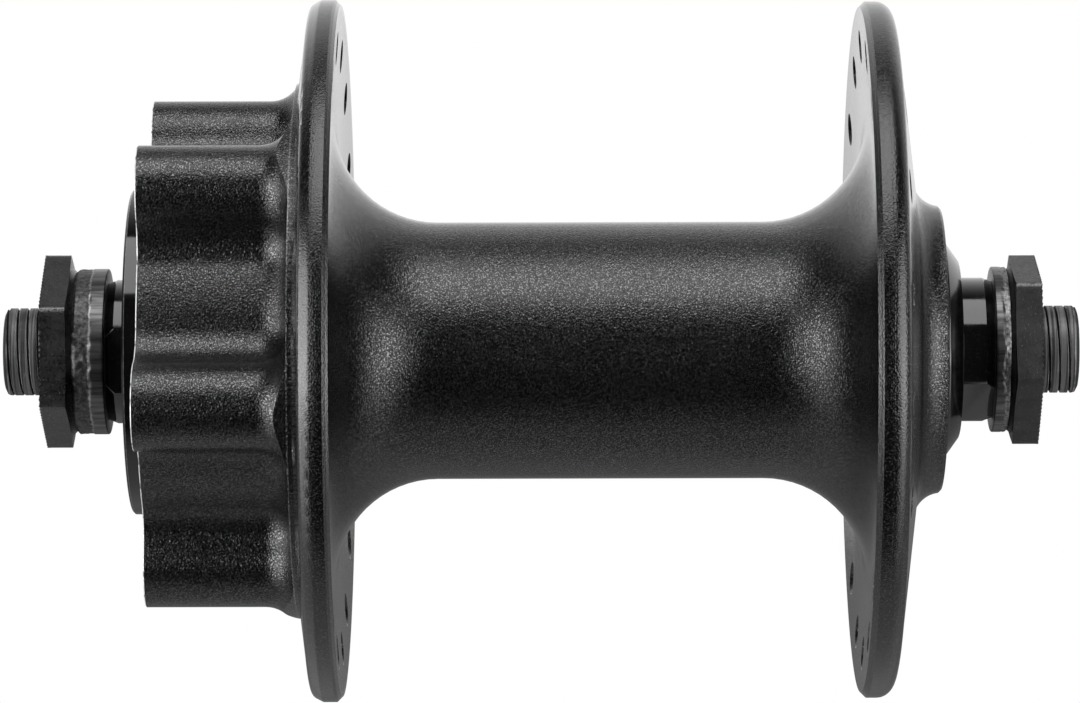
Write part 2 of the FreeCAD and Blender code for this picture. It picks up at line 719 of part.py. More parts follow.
def make_shell(doc):
    """One-piece aluminium shell."""
    body = new_body(doc, "hub_shell")
    make_rotor_boss(doc, body)
    make_flanged_barrel(body)
    bore_shell(body)
    doc.recompute()
    drill_spoke_holes(body, "LeftSpokeHole", "", "left_inner_face_at_spokes", "left_face_at_spokes",
                      "spoke_holes_angle")
    doc.recompute()
    drill_spoke_holes(body, "RightSpokeHole", "-", "right_inner_face_at_spokes", "right_face_at_spokes",
                      "spoke_holes_angle + 180 / spokes_per_flange")
    doc.recompute()
    drill_rotor_holes(body)
    return body


def make_parts(doc):
    """All pieces of the hub, those of the plain side turned to face the other way."""
    bodies = [make_shell(doc), make_axle(doc)]
    for side in ("left", "right"):
        turned = side == "right"
        cone_face = side + "_cone_face"
        ball_plane = side + "_ball_plane"
        bodies += [
            make_lock_nut(doc, side + "_lock_nut", side + "_nut_angle", turned),
            make_washer(doc, side + "_washer", side + "_washer_thickness", turned),
            make_cone(doc, side + "_cone", cone_face, turned, side + "_cone_flats_angle"),
            make_cone_cover(doc, side + "_cone_cover", cone_face, turned),
            make_seal_ring(doc, side + "_seal_ring", cone_face, turned),
            make_cup(doc, side + "_cup", ball_plane, turned),
            make_ball_set(doc, side + "_ball_set", ball_plane, turned),
            make_shell_cap(doc, side + "_shell_cap", ball_plane, turned),
        ]
    return bodies


def check(doc, bodies):
    """Stops if a feature failed or a piece is empty or broken."""
    for item in doc.Objects:
        if "Invalid" in item.State or "Error" in item.State:
            raise RuntimeError("%s is %s" % (item.Name, item.State))
    for body in bodies:
        if body.Shape.isNull() or not body.Shape.isValid() or not body.Shape.Solids:
            raise RuntimeError(body.Label + " has no valid solid")


def main():
    """Builds the hub and writes one STEP file for each piece."""
    doc = FreeCAD.newDocument("front_hub")
    make_sheets(doc)
    bodies = make_parts(doc)
    doc.recompute()
    check(doc, bodies)
    os.makedirs("parts", exist_ok=True)
    for body in bodies:
        body.Shape.exportStep(os.path.join("parts", body.Label + ".step"))
        box = body.Shape.BoundBox
        print("%s: %d solids, %.1f mm3, Y %.2f to %.2f" % (
            body.Label, len(body.Shape.Solids), body.Shape.Volume, box.YMin, box.YMax))


main()
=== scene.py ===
"""Studio scene of a bicycle front hub with a six-bolt rotor boss.

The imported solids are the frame. This file replaces the pieces whose fine detail the solids
leave out, gives every piece its finish and lights them. The axle lies along Y with the disc
side at +Y, and Z is up. The scene is in metres. The sub-assemblies and the bounds of the
finishes' zones are given in millimetres, and the fine noises in waves per metre.
"""

from __future__ import annotations

import logging
import math
from collections.abc import Callable, Iterable, Sequence
from dataclasses import dataclass
from enum import Enum

import bmesh
import bpy
from mathutils import Matrix, Vector, noise

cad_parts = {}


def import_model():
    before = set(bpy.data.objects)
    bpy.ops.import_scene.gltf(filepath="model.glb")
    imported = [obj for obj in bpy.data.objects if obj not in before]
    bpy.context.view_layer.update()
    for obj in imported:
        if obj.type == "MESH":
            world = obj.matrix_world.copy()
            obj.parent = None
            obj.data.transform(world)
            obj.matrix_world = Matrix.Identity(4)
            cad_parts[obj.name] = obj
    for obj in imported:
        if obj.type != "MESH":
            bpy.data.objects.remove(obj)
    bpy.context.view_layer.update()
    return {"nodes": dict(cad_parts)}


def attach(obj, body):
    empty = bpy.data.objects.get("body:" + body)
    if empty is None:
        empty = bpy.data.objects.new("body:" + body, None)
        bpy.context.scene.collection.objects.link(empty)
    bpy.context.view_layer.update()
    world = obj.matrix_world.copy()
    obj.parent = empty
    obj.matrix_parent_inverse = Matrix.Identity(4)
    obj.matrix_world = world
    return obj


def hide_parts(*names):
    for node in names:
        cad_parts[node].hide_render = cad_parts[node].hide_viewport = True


MM = 0.001
PER_METRE = 1000.0
SAME_PLACE = 2e-6
AXIS = Vector((0.0, 1.0, 0.0))
WHITE = (1.0, 1.0, 1.0)
Colour = tuple[float, float, float]
Span = tuple[float, float]
Outline = Sequence[Span]
log = logging.getLogger("hub")


class Side(Enum):
    """The two ends of the hub, by their sign along the axle."""

    DISC = 1
    PLAIN = -1

    @property
    def word(self) -> str:
        """The word that this side's nodes begin with."""
        return "left" if self is Side.DISC else "right"

    def node(self, name: str) -> str:
        """The name of this side's node of a kind."""
        return f"{self.word}_{name}"


# Node trees


class Canvas:
    """A node tree being filled, with short calls for its nodes and links."""

    def __init__(self, tree: bpy.types.NodeTree) -> None:
        """Keeps the material's, world's or group's node tree that the calls fill."""
        self.tree = tree

    def add(self, kind: str, **settings: object) -> bpy.types.Node:
        """Adds a node.

        Args:
            kind: The node's type name, without its ShaderNode prefix.
            settings: Properties to set on the node.

        Returns:
            The new node.
        """
        node = self.tree.nodes.new("ShaderNode" + kind)
        for name, value in settings.items():
            setattr(node, name, value)
        return node

    def feed(self, socket: bpy.types.NodeSocket, value: object) -> None:
        """Links an output to an input, or writes a constant on it.

        Args:
            socket: The input.
            value: An output socket, a number, a vector or a colour.
        """
        if isinstance(value, bpy.types.NodeSocket):
            self.tree.links.new(value, socket)
        elif isinstance(value, tuple) and len(value) == 3 and socket.type == "RGBA":
            socket.default_value = (*value, 1.0)
        else:
            socket.default_value = value

    def wire(self, node: bpy.types.Node, **inputs: object) -> bpy.types.Node:
        """Feeds a node's inputs by their names.

        Args:
            node: The node.
            inputs: What each takes, with underscores for the spaces in its name.

        Returns:
            The same node.
        """
        for name, item in inputs.items():
            self.feed(node.inputs[name.replace("_", " ")], item)
        return node

    def math(self, operation: str, a: object, b: object = 0.0, clamp: bool = False) -> bpy.types.NodeSocket:
        """A Math node's result.

        Args:
            operation: The Math node's operation.
            a: First number or output.
            b: Second number or output.
            clamp: Whether the result stays within 0 and 1.

        Returns:
            The output socket.
        """
        node = self.add("Math", operation=operation, use_clamp=clamp)
        self.feed(node.inputs[0], a)
        self.feed(node.inputs[1], b)
        return node.outputs[0]

    def times(self, a: object, b: object) -> bpy.types.NodeSocket:
        """Two values multiplied."""
        return self.math("MULTIPLY", a, b)

    def plus(self, a: object, b: object, clamp: bool = False) -> bpy.types.NodeSocket:
        """Two values added, within 0 and 1 if clamped."""
        return self.math("ADD", a, b, clamp)

    def minus(self, a: object, b: object, clamp: bool = False) -> bpy.types.NodeSocket:
        """One value less another, within 0 and 1 if clamped."""
        return self.math("SUBTRACT", a, b, clamp)

    def most(self, a: object, b: object) -> bpy.types.NodeSocket:
        """The larger of two values."""
        return self.math("MAXIMUM", a, b)

    def ramp(self, value: object, start: float, end: float, low: float = 0.0, high: float = 1.0,
             smooth: bool = True) -> bpy.types.NodeSocket:
        """A value moved from one range to another, held at the ends.

        Args:
            value: The output to move.
            start: Its value that gives low.
            end: Its value that gives high.
            low: Result at start.
            high: Result at end.
            smooth: Whether it eases in and out.

        Returns:
            The output socket.
        """
        node = self.add("MapRange", interpolation_type="SMOOTHSTEP" if smooth else "LINEAR")
        self.wire(node, Value=value, From_Min=start, From_Max=end, To_Min=low, To_Max=high)
        return node.outputs["Result"]

    def band(self, value: object, low: float, high: float, soft: float) -> bpy.types.NodeSocket:
        """A mask that is 1 between two values and fades to 0 outside them.

        Args:
            value: The output to look at.
            low: Lower end of the band.
            high: Upper end of the band.
            soft: Width of the fade at each end.

        Returns:
            The output socket.
        """
        rise = self.ramp(value, low - soft, low + soft)
        fall = self.ramp(value, high - soft, high + soft, 1.0, 0.0)
        return self.times(rise, fall)

    def mix(self, factor: object, a: object, b: object) -> bpy.types.NodeSocket:
        """A mix of two colours.

        Args:
            factor: 0 gives a and 1 gives b.
            a: A colour or output.
            b: A colour or output.

        Returns:
            The output socket.
        """
        node = self.add("Mix", data_type="RGBA")
        for place, item in ((0, factor), (6, a), (7, b)):
            self.feed(node.inputs[place], item)
        return node.outputs[2]

    def blend(self, factor: object, first: object, second: object) -> bpy.types.NodeSocket:
        """A mix of two shaders.

        Args:
            factor: 0 gives the first and 1 gives the second.
            first: A shader's output.
            second: A shader's output.

        Returns:
            The output socket.
        """
        node = self.add("MixShader")
        for socket, item in zip(node.inputs, (factor, first, second)):
            self.feed(socket, item)
        return node.outputs[0]

    def grain(self, vector: object, scale: object, detail: float = 2.0,
              rough: float = 0.5) -> bpy.types.NodeSocket:
        """The value of a noise of so many waves per metre and octaves, the finer ones by their share."""
        node = self.add("TexNoise", noise_dimensions="3D")
        return self.wire(node, Vector=vector, Scale=scale, Detail=detail, Roughness=rough).outputs["Fac"]

    def split(self, vector: object) -> Sequence[bpy.types.NodeSocket]:
        """The X, Y and Z of a vector."""
        return self.wire(self.add("SeparateXYZ"), Vector=vector).outputs

    def scaled(self, vector: object, by: Sequence[float]) -> bpy.types.NodeSocket:
        """A vector multiplied component by component.

        Args:
            vector: The output to scale.
            by: The three factors.

        Returns:
            The output socket.
        """
        node = self.add("VectorMath", operation="MULTIPLY")
        self.feed(node.inputs[0], vector)
        self.feed(node.inputs[1], by)
        return node.outputs[0]

    def put(self, name: str, **inputs: object) -> bpy.types.Node:
        """Places a shared effect in this tree.

        Args:
            name: The group's name.
            inputs: Its inputs, with underscores for the spaces.

        Returns:
            The group node.
        """
        node = self.add("Group")
        node.node_tree = bpy.data.node_groups[name]
        return self.wire(node, **inputs)


class SharedEffects:
    """The surface effects that several finishes use, each a shader node group."""

    @staticmethod
    def start(name: str, inputs: dict[str, tuple[str, object]],
              outputs: Iterable[str]) -> tuple[Canvas, bpy.types.Node, bpy.types.Node]:
        """Makes an empty group with its sockets.

        Args:
            name: The group's name.
            inputs: Socket names with their kind, FLOAT or VECTOR, and default.
            outputs: Names of the value outputs.

        Returns:
            A canvas on the group, its input node and its output node.
        """
        tree = bpy.data.node_groups.new(name, "ShaderNodeTree")
        kinds = {"FLOAT": "NodeSocketFloat", "VECTOR": "NodeSocketVector"}
        for label, (kind, default) in inputs.items():
            socket = tree.interface.new_socket(label, in_out="INPUT", socket_type=kinds[kind])
            socket.default_value = default
        for label in outputs:
            tree.interface.new_socket(label, in_out="OUTPUT", socket_type="NodeSocketFloat")
        into = tree.nodes.new("NodeGroupInput")
        out = tree.nodes.new("NodeGroupOutput")
        return Canvas(tree), into, out

    def turned_place(self) -> None:
        """Where a point is about the axle: its radius and place along in millimetres, and its angle."""
        canvas, into, out = self.start("turned place", {"Vector": ("VECTOR", (0, 0, 0))},
                                       ("Radius", "Along", "Angle"))
        x, y, z = canvas.split(into.outputs["Vector"])
        square = canvas.plus(canvas.times(x, x), canvas.times(z, z))
        canvas.wire(out, Radius=canvas.times(canvas.math("SQRT", square), PER_METRE),
                    Along=canvas.times(y, PER_METRE), Angle=canvas.math("ARCTAN2", z, x))

    def blasted_grain(self) -> None:
        """Pits of a bead-blasted surface, with a fine sparkle and a slow unevenness."""
        canvas, into, out = self.start(
            "blasted grain", {"Vector": ("VECTOR", (0, 0, 0)), "Scale": ("FLOAT", 4000.0)},
            ("Height", "Tone", "Gloss"))
        vector, scale = into.outputs["Vector"], into.outputs["Scale"]
        coarse = canvas.grain(vector, scale, 1.0, 0.5)
        wider = canvas.times(scale, 0.9)
        pits = canvas.wire(canvas.add("TexVoronoi", feature="F1"), Vector=vector, Scale=wider)
        slow = canvas.grain(vector, 90.0, 3.0)
        speck = canvas.ramp(canvas.grain(vector, wider, 1.0), 0.53, 0.66)
        deep = canvas.times(pits.outputs["Distance"], 0.35)
        canvas.wire(out, Height=canvas.plus(canvas.times(coarse, 0.7), deep),
                    Tone=canvas.plus(canvas.times(speck, 0.85), canvas.times(slow, 0.15), True),
                    Gloss=canvas.plus(canvas.times(coarse, 0.7), canvas.times(slow, 0.3), True))

    def turning_lines(self) -> None:
        """Fine rings that a lathe tool leaves, uneven round the part."""
        canvas, into, out = self.start(
            "turning lines", {"Radius": ("FLOAT", 0.0), "Along": ("FLOAT", 0.0), "Angle": ("FLOAT", 0.0),
                              "Fineness": ("FLOAT", 12.0)}, ("Height", "Tone"))
        radius, along, angle, fineness = into.outputs[:4]
        place = canvas.wire(canvas.add("CombineXYZ"), X=canvas.times(radius, fineness),
                            Y=canvas.times(along, fineness), Z=canvas.times(canvas.math("SINE", angle), 0.8))
        fine = canvas.grain(place.outputs[0], 1.0, 2.0, 0.7)
        broad = canvas.grain(place.outputs[0], 0.22, 2.0, 0.5)
        canvas.wire(out, Height=canvas.plus(canvas.times(fine, 0.7), canvas.times(broad, 0.5)),
                    Tone=canvas.ramp(broad, 0.3, 0.7))

    def handling(self) -> None:
        """Smudges, a thin film of dust and a few hair-fine scratches."""
        canvas, into, out = self.start("handling", {"Vector": ("VECTOR", (0, 0, 0))},
                                       ("Smudge", "Dust", "Scratch"))
        vector = into.outputs["Vector"]
        lines = canvas.grain(canvas.scaled(vector, (260.0, 5200.0, 900.0)), 1.0, 1.0, 0.3)
        near = canvas.math("ABSOLUTE", canvas.minus(lines, 0.5))
        canvas.wire(out, Smudge=canvas.ramp(canvas.grain(vector, 160.0, 4.0, 0.55), 0.42, 0.68),
                    Dust=canvas.ramp(canvas.grain(vector, 7000.0, 2.0, 0.5), 0.66, 0.74),
                    Scratch=canvas.ramp(near, 0.0, 0.006, 1.0, 0.0))

    def build(self) -> None:
        """Makes every group once."""
        self.turned_place()
        self.blasted_grain()
        self.turning_lines()
        self.handling()


class Surface:
    """A new material with its shader, its coordinates and the shared effects at hand."""

    def __init__(self, name: str) -> None:
        """Starts an opaque material.

        Args:
            name: The material's name.
        """
        self.material = bpy.data.materials.new(name)
        self.material.use_nodes = True
        tree = self.material.node_tree
        tree.nodes.clear()
        self.canvas = Canvas(tree)
        self.shader = self.canvas.add("BsdfPrincipled")
        output = self.canvas.add("OutputMaterial")
        self.canvas.wire(output, Surface=self.shader.outputs["BSDF"])
        where = self.canvas.add("TexCoord")
        self.vector = where.outputs["Object"]
        place = self.canvas.put("turned place", Vector=self.vector)
        self.radius, self.along, self.angle = place.outputs

    def set(self, **sockets: object) -> None:
        """Writes or links the shader's sockets, named with underscores for the spaces."""
        self.canvas.wire(self.shader, **sockets)

    def emboss(self, height: object, depth: float, strength: float) -> None:
        """Bumps the shader's normal by a height of about 0 to 1, where 1 is so many metres deep."""
        bump = self.canvas.wire(self.canvas.add("Bump"), Height=height, Distance=depth, Strength=strength)
        self.set(Normal=bump.outputs["Normal"])

    def turned(self, fineness: float) -> bpy.types.Node:
        """The turning lines about the axle, at so many waves per millimetre."""
        return self.canvas.put("turning lines", Radius=self.radius, Along=self.along, Angle=self.angle,
                               Fineness=fineness)

    def handled(self) -> bpy.types.Node:
        """The smudges, dust and scratches of handling."""
        return self.canvas.put("handling", Vector=self.vector)


# Finishes


@dataclass(frozen=True)
class Finish:
    """A named surface finish, whose kinds say how it is painted."""

    name: str

    def build(self) -> bpy.types.Material:
        """Makes the material.

        Returns:
            The finished material.
        """
        surface = Surface(self.name)
        self.paint(surface, surface.canvas)
        return surface.material

    def paint(self, s: Surface, c: Canvas) -> None:
        """Links the nodes of this finish to a surface, in that surface's node tree."""
        raise NotImplementedError


@dataclass(frozen=True)
class BlastedAnodising(Finish):
    """Black anodising over a bead-blasted shell, smoother where the shell was turned.

    The blasting leaves a fine sparkle: specks of the metal show brighter through the film.
    The corners of the base disc and of the spigot's end get a lighter bare tone: worn metal, and
    also a painted highlight along those corner lines.
    """

    name: str = "anodised_shell"
    dark: Colour = (0.0003, 0.0003, 0.0003)
    light: Colour = (0.021, 0.021, 0.0213)
    turned_dark: Colour = (0.0016, 0.0016, 0.0017)
    turned_light: Colour = (0.004, 0.004, 0.0042)
    sparkle: Colour = (0.122, 0.122, 0.123)
    bare: Colour = (0.16, 0.16, 0.16)
    # Bare tone of the worn corners, which also paints a highlight along them.
    dust: Colour = (0.3, 0.3, 0.29)
    sparkle_scale: float = 6400.0
    grain_scale: float = 6000.0
    grain_depth: float = 0.000072
    line_fineness: float = 14.0
    roughness: Span = (0.11, 0.25)
    grazing_roughness: float = 0.1
    turned_roughness: float = 0.08
    coat: float = 0.6
    coat_roughness: float = 0.22
    specular: float = 0.65
    spigot_foot: float = 39.42
    collar_face: float = -40.14
    edge: float = 0.02
    rim_radius: float = 34.2
    rim_bands: tuple[Span, Span] = ((20.35, 21.93), (-33.6, -32.35))
    # The two corners that get the bare tone and its painted highlight: radius, then span along.
    disc_corner: tuple[float, float, float] = (26.7, 24.34, 24.5)
    spigot_corner: tuple[float, float, float] = (16.42, 40.86, 40.93)

    def paint(self, s: Surface, c: Canvas) -> None:
        """Links the nodes of this finish.

        Args:
            s: The surface to paint.
            c: Its node tree.
        """
        spigot = c.ramp(s.along, self.spigot_foot - self.edge, self.spigot_foot + self.edge)
        collar = c.ramp(s.along, self.collar_face - self.edge, self.collar_face + self.edge, 1.0, 0.0)
        turned = c.most(spigot, collar)
        rim = c.ramp(s.radius, self.rim_radius, self.rim_radius + 0.3)
        flat = c.times(rim, c.most(*(c.band(s.along, *ends, 0.06) for ends in self.rim_bands)))
        corner = c.times(c.minus(rim, flat, True), c.ramp(s.along, -5.0, 5.0, 0.0, self.coat))
        # Worn corners of the base disc and the spigot, which also make a painted highlight line.
        worn_and_highlit = c.most(*(c.times(c.ramp(s.radius, least, least + 0.03), c.band(s.along, low, high, self.edge))
                        for least, low, high in (self.disc_corner, self.spigot_corner)))
        grain = c.put("blasted grain", Vector=s.vector, Scale=self.grain_scale).outputs
        lines = s.turned(self.line_fineness).outputs
        wear = s.handled().outputs
        tone = c.mix(turned, c.mix(grain["Tone"], self.dark, self.light),
                     c.mix(lines["Tone"], self.turned_dark, self.turned_light))
        tone = c.mix(c.times(wear["Dust"], 0.06), tone, self.dust)
        tone = c.mix(c.times(worn_and_highlit, c.ramp(grain["Gloss"], 0.4, 0.6, 0.3, 1.0)), tone, self.bare)
        flecks = c.grain(s.vector, self.sparkle_scale, 1.0)
        blasted = c.minus(1.0, c.most(turned, rim))
        shine = c.times(c.ramp(flecks, 0.4, 0.47, 0.0, 0.88), blasted)
        tone = c.mix(c.times(c.ramp(flecks, 0.44, 0.68), blasted), tone, self.sparkle)
        gloss = c.ramp(grain["Gloss"], 0.3, 0.7, *self.roughness)
        gloss = c.minus(gloss, c.times(rim, 0.07))
        gloss = c.plus(gloss, c.times(wear["Smudge"], 0.03))
        keep = c.minus(1.0, turned)
        gloss = c.plus(c.times(gloss, keep), c.times(turned, self.turned_roughness))
        grazing = c.ramp(c.add("LayerWeight").outputs["Facing"], 0.7, 0.92)
        sheen = c.minus(1.0, grazing)
        gloss = c.plus(c.times(gloss, sheen), c.times(grazing, self.grazing_roughness))
        height = c.plus(c.times(grain["Height"], keep), c.times(lines["Height"], c.times(turned, 0.02)))
        height = c.plus(c.times(height, c.minus(1.0, c.times(rim, 0.3))),
                        c.times(lines["Height"], c.times(flat, 0.26)))
        height = c.times(height, c.plus(c.times(sheen, 0.85), 0.15))
        s.set(Base_Color=tone, Roughness=gloss, Metallic=shine, Specular_IOR_Level=self.specular,
              Coat_Weight=corner, Coat_Roughness=self.coat_roughness)
        s.emboss(height, self.grain_depth, 0.9)


@dataclass(frozen=True)
class BareEdge(Finish):
    """Bare aluminium where a cut has taken the anodising off a corner."""

    name: str = "bare_edge"
    dark: Colour = (0.72, 0.72, 0.73)
    light: Colour = (0.94, 0.94, 0.94)
    film: Colour = (0.2, 0.2, 0.202)
    roughness: Span = (0.35, 0.55)
    metallic: float = 0.6
    line_fineness: float = 20.0
    line_depth: float = 0.000006

    def paint(self, s: Surface, c: Canvas) -> None:
        """Links the nodes of this finish.

        Args:
            s: The surface to paint.
            c: Its node tree.
        """
        lines = s.turned(self.line_fineness).outputs
        gaps = c.ramp(c.grain(s.vector, 1300.0, 3.0, 0.6), 0.34, 0.46)
        tone = c.mix(gaps, self.film, c.mix(lines["Tone"], self.dark, self.light))
        s.set(Base_Color=tone, Metallic=self.metallic,
              Roughness=c.ramp(lines["Height"], 0.2, 0.9, *self.roughness))
        s.emboss(lines["Height"], self.line_depth, 0.6)


@dataclass(frozen=True)
class OiledSteel(Finish):
    """Steel with an oily sheen, for the axle, the bearings and the bare corners of the cones.
    On the axle, the thread roots and the rounded end are darkened as painted shade.
    """

    dark: Colour
    light: Colour
    roughness: Span
    metallic: float = 1.0
    grain_scale: float = 2600.0
    grain_depth: float = 0.00001
    line_fineness: float = 9.0
    line_share: float = 0.5
    oil: float = 0.35
    flank: Span = (0.0, 0.0)
    # Where the axle's end starts to be rougher and darkened with painted shade, in millimetres.
    dull_and_shaded_from: float = 1000.0
    scratch: Colour = (0.5, 0.5, 0.5)
    polish: Colour = (0.7, 0.7, 0.7)
    # Colour of the painted shade in the thread roots and on the axle's end.
    painted_shade: Colour = (0.012, 0.012, 0.012)

    def paint(self, s: Surface, c: Canvas) -> None:
        """Links the nodes of this finish.

        Args:
            s: The surface to paint.
            c: Its node tree.
        """
        lines = s.turned(self.line_fineness).outputs
        wear = s.handled().outputs
        fine = c.grain(s.vector, self.grain_scale, 3.0, 0.6)
        slow = c.grain(s.vector, 380.0, 3.0, 0.55)
        share = c.plus(c.times(lines["Tone"], self.line_share), c.times(slow, 1.0 - self.line_share))
        tone = c.mix(c.ramp(share, 0.25, 0.75), self.dark, self.light)
        tone = c.mix(c.times(wear["Scratch"], 0.25), tone, self.scratch)
        crests = c.times(c.band(s.radius, *self.flank, 0.008), c.ramp(slow, 0.35, 0.6, 0.1, 0.9))
        tone = c.mix(crests, tone, self.polish)
        # Painted shade: the thread roots and the rounded end of the axle are darkened, and the end is also
        # rougher.
        deep = c.band(s.radius, self.flank[0] - 0.4, self.flank[0] - 0.01, 0.01)
        dull = c.ramp(c.math("ABSOLUTE", s.along), self.dull_and_shaded_from, self.dull_and_shaded_from + 0.15)
        tone = c.mix(c.most(c.times(deep, 0.9), c.times(dull, 0.7)), tone, self.painted_shade)
        gloss = c.plus(c.ramp(fine, 0.25, 0.75, *self.roughness), c.times(dull, 0.2), True)
        gloss = c.minus(gloss, c.times(wear["Smudge"], self.oil * 0.2), True)
        height = c.plus(c.times(fine, 1.0 - self.line_share), c.times(lines["Height"], self.line_share))
        s.set(Base_Color=tone, Roughness=gloss, Metallic=self.metallic)
        s.emboss(height, self.grain_depth, 0.8)


@dataclass(frozen=True)
class StampedSteel(Finish):
    """The edge of a stamped washer, burnished along one zone and torn along the other.

    A lighter line along the start of the torn zone is a painted highlight on the step there.
    """

    name: str = "washer_steel"
    smooth_dark: Colour = (0.06, 0.06, 0.061)
    smooth_light: Colour = (0.15, 0.15, 0.152)
    torn_dark: Colour = (0.035, 0.035, 0.0353)
    torn_light: Colour = (0.12, 0.12, 0.12)
    # Tones of the torn zone on the plain side, lighter than on the disc side.
    plain_torn_dark: Colour = (0.08, 0.08, 0.081)
    plain_torn_light: Colour = (0.32, 0.32, 0.32)
    # Colour of the painted highlight along the start of the torn zone.
    ridge_highlight: Colour = (0.4, 0.4, 0.4)
    roughness: Span = (0.34, 0.46)
    left_zone: Span = (45.05, 47.2)
    right_zone: Span = (-47.2, -46.3)
    zone_edge: float = 0.05
    # Half width of that painted highlight line, in millimetres.
    ridge_highlight_half: float = 0.16
    wall_radius: float = 8.05
    tear_depth: float = 0.000024

    def paint(self, s: Surface, c: Canvas) -> None:
        """Links the nodes of this finish.

        Args:
            s: The surface to paint.
            c: Its node tree.
        """
        place = c.plus(s.along, c.times(c.minus(c.grain(s.vector, 500.0, 3.0, 0.6), 0.5), 0.5))
        torn = c.most(*(c.band(place, *zone, self.zone_edge) for zone in (self.left_zone, self.right_zone)))
        torn = c.times(torn, c.ramp(s.radius, self.wall_radius - 0.1, self.wall_radius))
        strokes = c.grain(c.scaled(s.vector, (2000.0, 120.0, 2000.0)), 1.0, 3.0, 0.65)
        lumps = c.grain(s.vector, 2900.0, 4.0, 0.68)
        lit = c.ramp(lumps, 0.3, 0.74)
        smooth_tone = c.mix(c.ramp(strokes, 0.35, 0.65), self.smooth_dark, self.smooth_light)
        # The torn zone is lighter on the plain side than on the disc side.
        torn_tone = c.mix(c.ramp(s.along, -1.0, 1.0, 1.0, 0.0), c.mix(lit, self.torn_dark, self.torn_light),
                          c.mix(lit, self.plain_torn_dark, self.plain_torn_light))
        # Painted highlight: a lighter line along the step where the torn zone starts.
        start = self.left_zone[0]
        across = c.ramp(place, start - self.ridge_highlight_half, start + self.ridge_highlight_half, -1.0, 1.0, False)
        ridge_highlight = c.minus(1.0, c.math("ABSOLUTE", across))
        tone = c.mix(torn, smooth_tone, torn_tone)
        tone = c.mix(c.times(ridge_highlight, c.ramp(lumps, 0.35, 0.6, 0.1, 0.8)), tone, self.ridge_highlight)
        height = c.plus(c.times(lumps, torn), c.times(c.times(strokes, c.minus(1.0, torn)), 0.12))
        s.set(Base_Color=tone, Metallic=1.0, Roughness=c.ramp(torn, 0.0, 1.0, *self.roughness))
        s.emboss(height, self.tear_depth, 0.9)


@dataclass(frozen=True)
class BlackOxide(Finish):
    """Dull black oxide on the lock nuts, with lighter rubbed corners that are also a painted
    highlight: strong on the corners above the axle and faint on those below it.
    """

    name: str = "black_oxide"
    roughness: Span = (0.16, 0.32)
    pit_depth: float = 0.00002
    dark: Colour = (0.0015, 0.0015, 0.0016)
    light: Colour = (0.013, 0.013, 0.0133)
    # Tone of the rubbed corners: wear, and a painted highlight.
    rubbed: Colour = (0.24, 0.24, 0.24)
    scratch: Colour = (0.12, 0.12, 0.12)
    dust: Colour = (0.3, 0.3, 0.3)
    metallic: float = 0.1
    specular: float = 0.6
    corner_radius: float = 9.62

    def paint(self, s: Surface, c: Canvas) -> None:
        """Links the nodes of this finish.

        Args:
            s: The surface to paint.
            c: Its node tree.
        """
        wear = s.handled().outputs
        fine = c.grain(s.vector, 3400.0, 4.0, 0.65)
        slow = c.grain(s.vector, 420.0, 4.0, 0.6)
        drawn = c.grain(c.scaled(s.vector, (900.0, 220.0, 900.0)), 1.0, 3.0, 0.6)
        share = c.plus(c.times(slow, 0.6), c.times(drawn, 0.4))
        tone = c.mix(c.ramp(share, 0.36, 0.64), self.dark, self.light)
        _, _, level = c.split(s.vector)
        # Rubbed corners, lighter as wear and as a painted highlight.
        rubbed = c.times(c.ramp(s.radius, self.corner_radius, self.corner_radius + 0.1),
                         c.ramp(fine, 0.36, 0.6))
        # Painted highlight: corners above the axle are lighter, and those below it nearly keep the base tone.
        rubbed = c.times(rubbed, c.ramp(level, -0.002, 0.002, 0.06, 1.0))
        tone = c.mix(c.times(rubbed, 0.7), tone, self.rubbed)
        tone = c.mix(c.times(wear["Dust"], 0.35), tone, self.dust)
        tone = c.mix(c.times(wear["Scratch"], 0.3), tone, self.scratch)
        gloss = c.plus(c.ramp(fine, 0.25, 0.75, *self.roughness), c.times(slow, 0.14))
        s.set(Base_Color=tone, Roughness=gloss, Metallic=self.metallic, Specular_IOR_Level=self.specular)
        s.emboss(c.plus(c.times(fine, 0.5), c.times(slow, 0.7)), self.pit_depth, 0.9)


@dataclass(frozen=True)
class BlackGloss(Finish):
    """Polished black over steel, as on the cones and their pressed covers."""

    tone: Colour = (0.0015, 0.0015, 0.0016)
    roughness: Span = (0.08, 0.18)
    speck: float = 0.12
    metallic: float = 0.0
    coat: float = 0.3
    coat_roughness: float = 0.08
    specular: float = 0.6
    dust: Colour = (0.35, 0.35, 0.34)
    line_fineness: float = 7.0
    wave_depth: float = 0.000012

    def paint(self, s: Surface, c: Canvas) -> None:
        """Links the nodes of this finish.

        Args:
            s: The surface to paint.
            c: Its node tree.
        """
        wear = s.handled().outputs
        lines = s.turned(self.line_fineness).outputs
        lighter = tuple(3.0 * part for part in self.tone)
        tone = c.mix(c.times(lines["Tone"], 0.5), self.tone, lighter)
        tone = c.mix(c.times(wear["Dust"], self.speck), tone, self.dust)
        gloss = c.ramp(wear["Smudge"], 0.0, 1.0, *self.roughness)
        s.set(Base_Color=tone, Roughness=gloss, Metallic=self.metallic, Coat_Weight=self.coat,
              Coat_Roughness=self.coat_roughness, Specular_IOR_Level=self.specular)
        height = c.plus(c.grain(s.vector, 700.0, 3.0), c.times(lines["Height"], 0.3))
        s.emboss(height, self.wave_depth, 0.5)


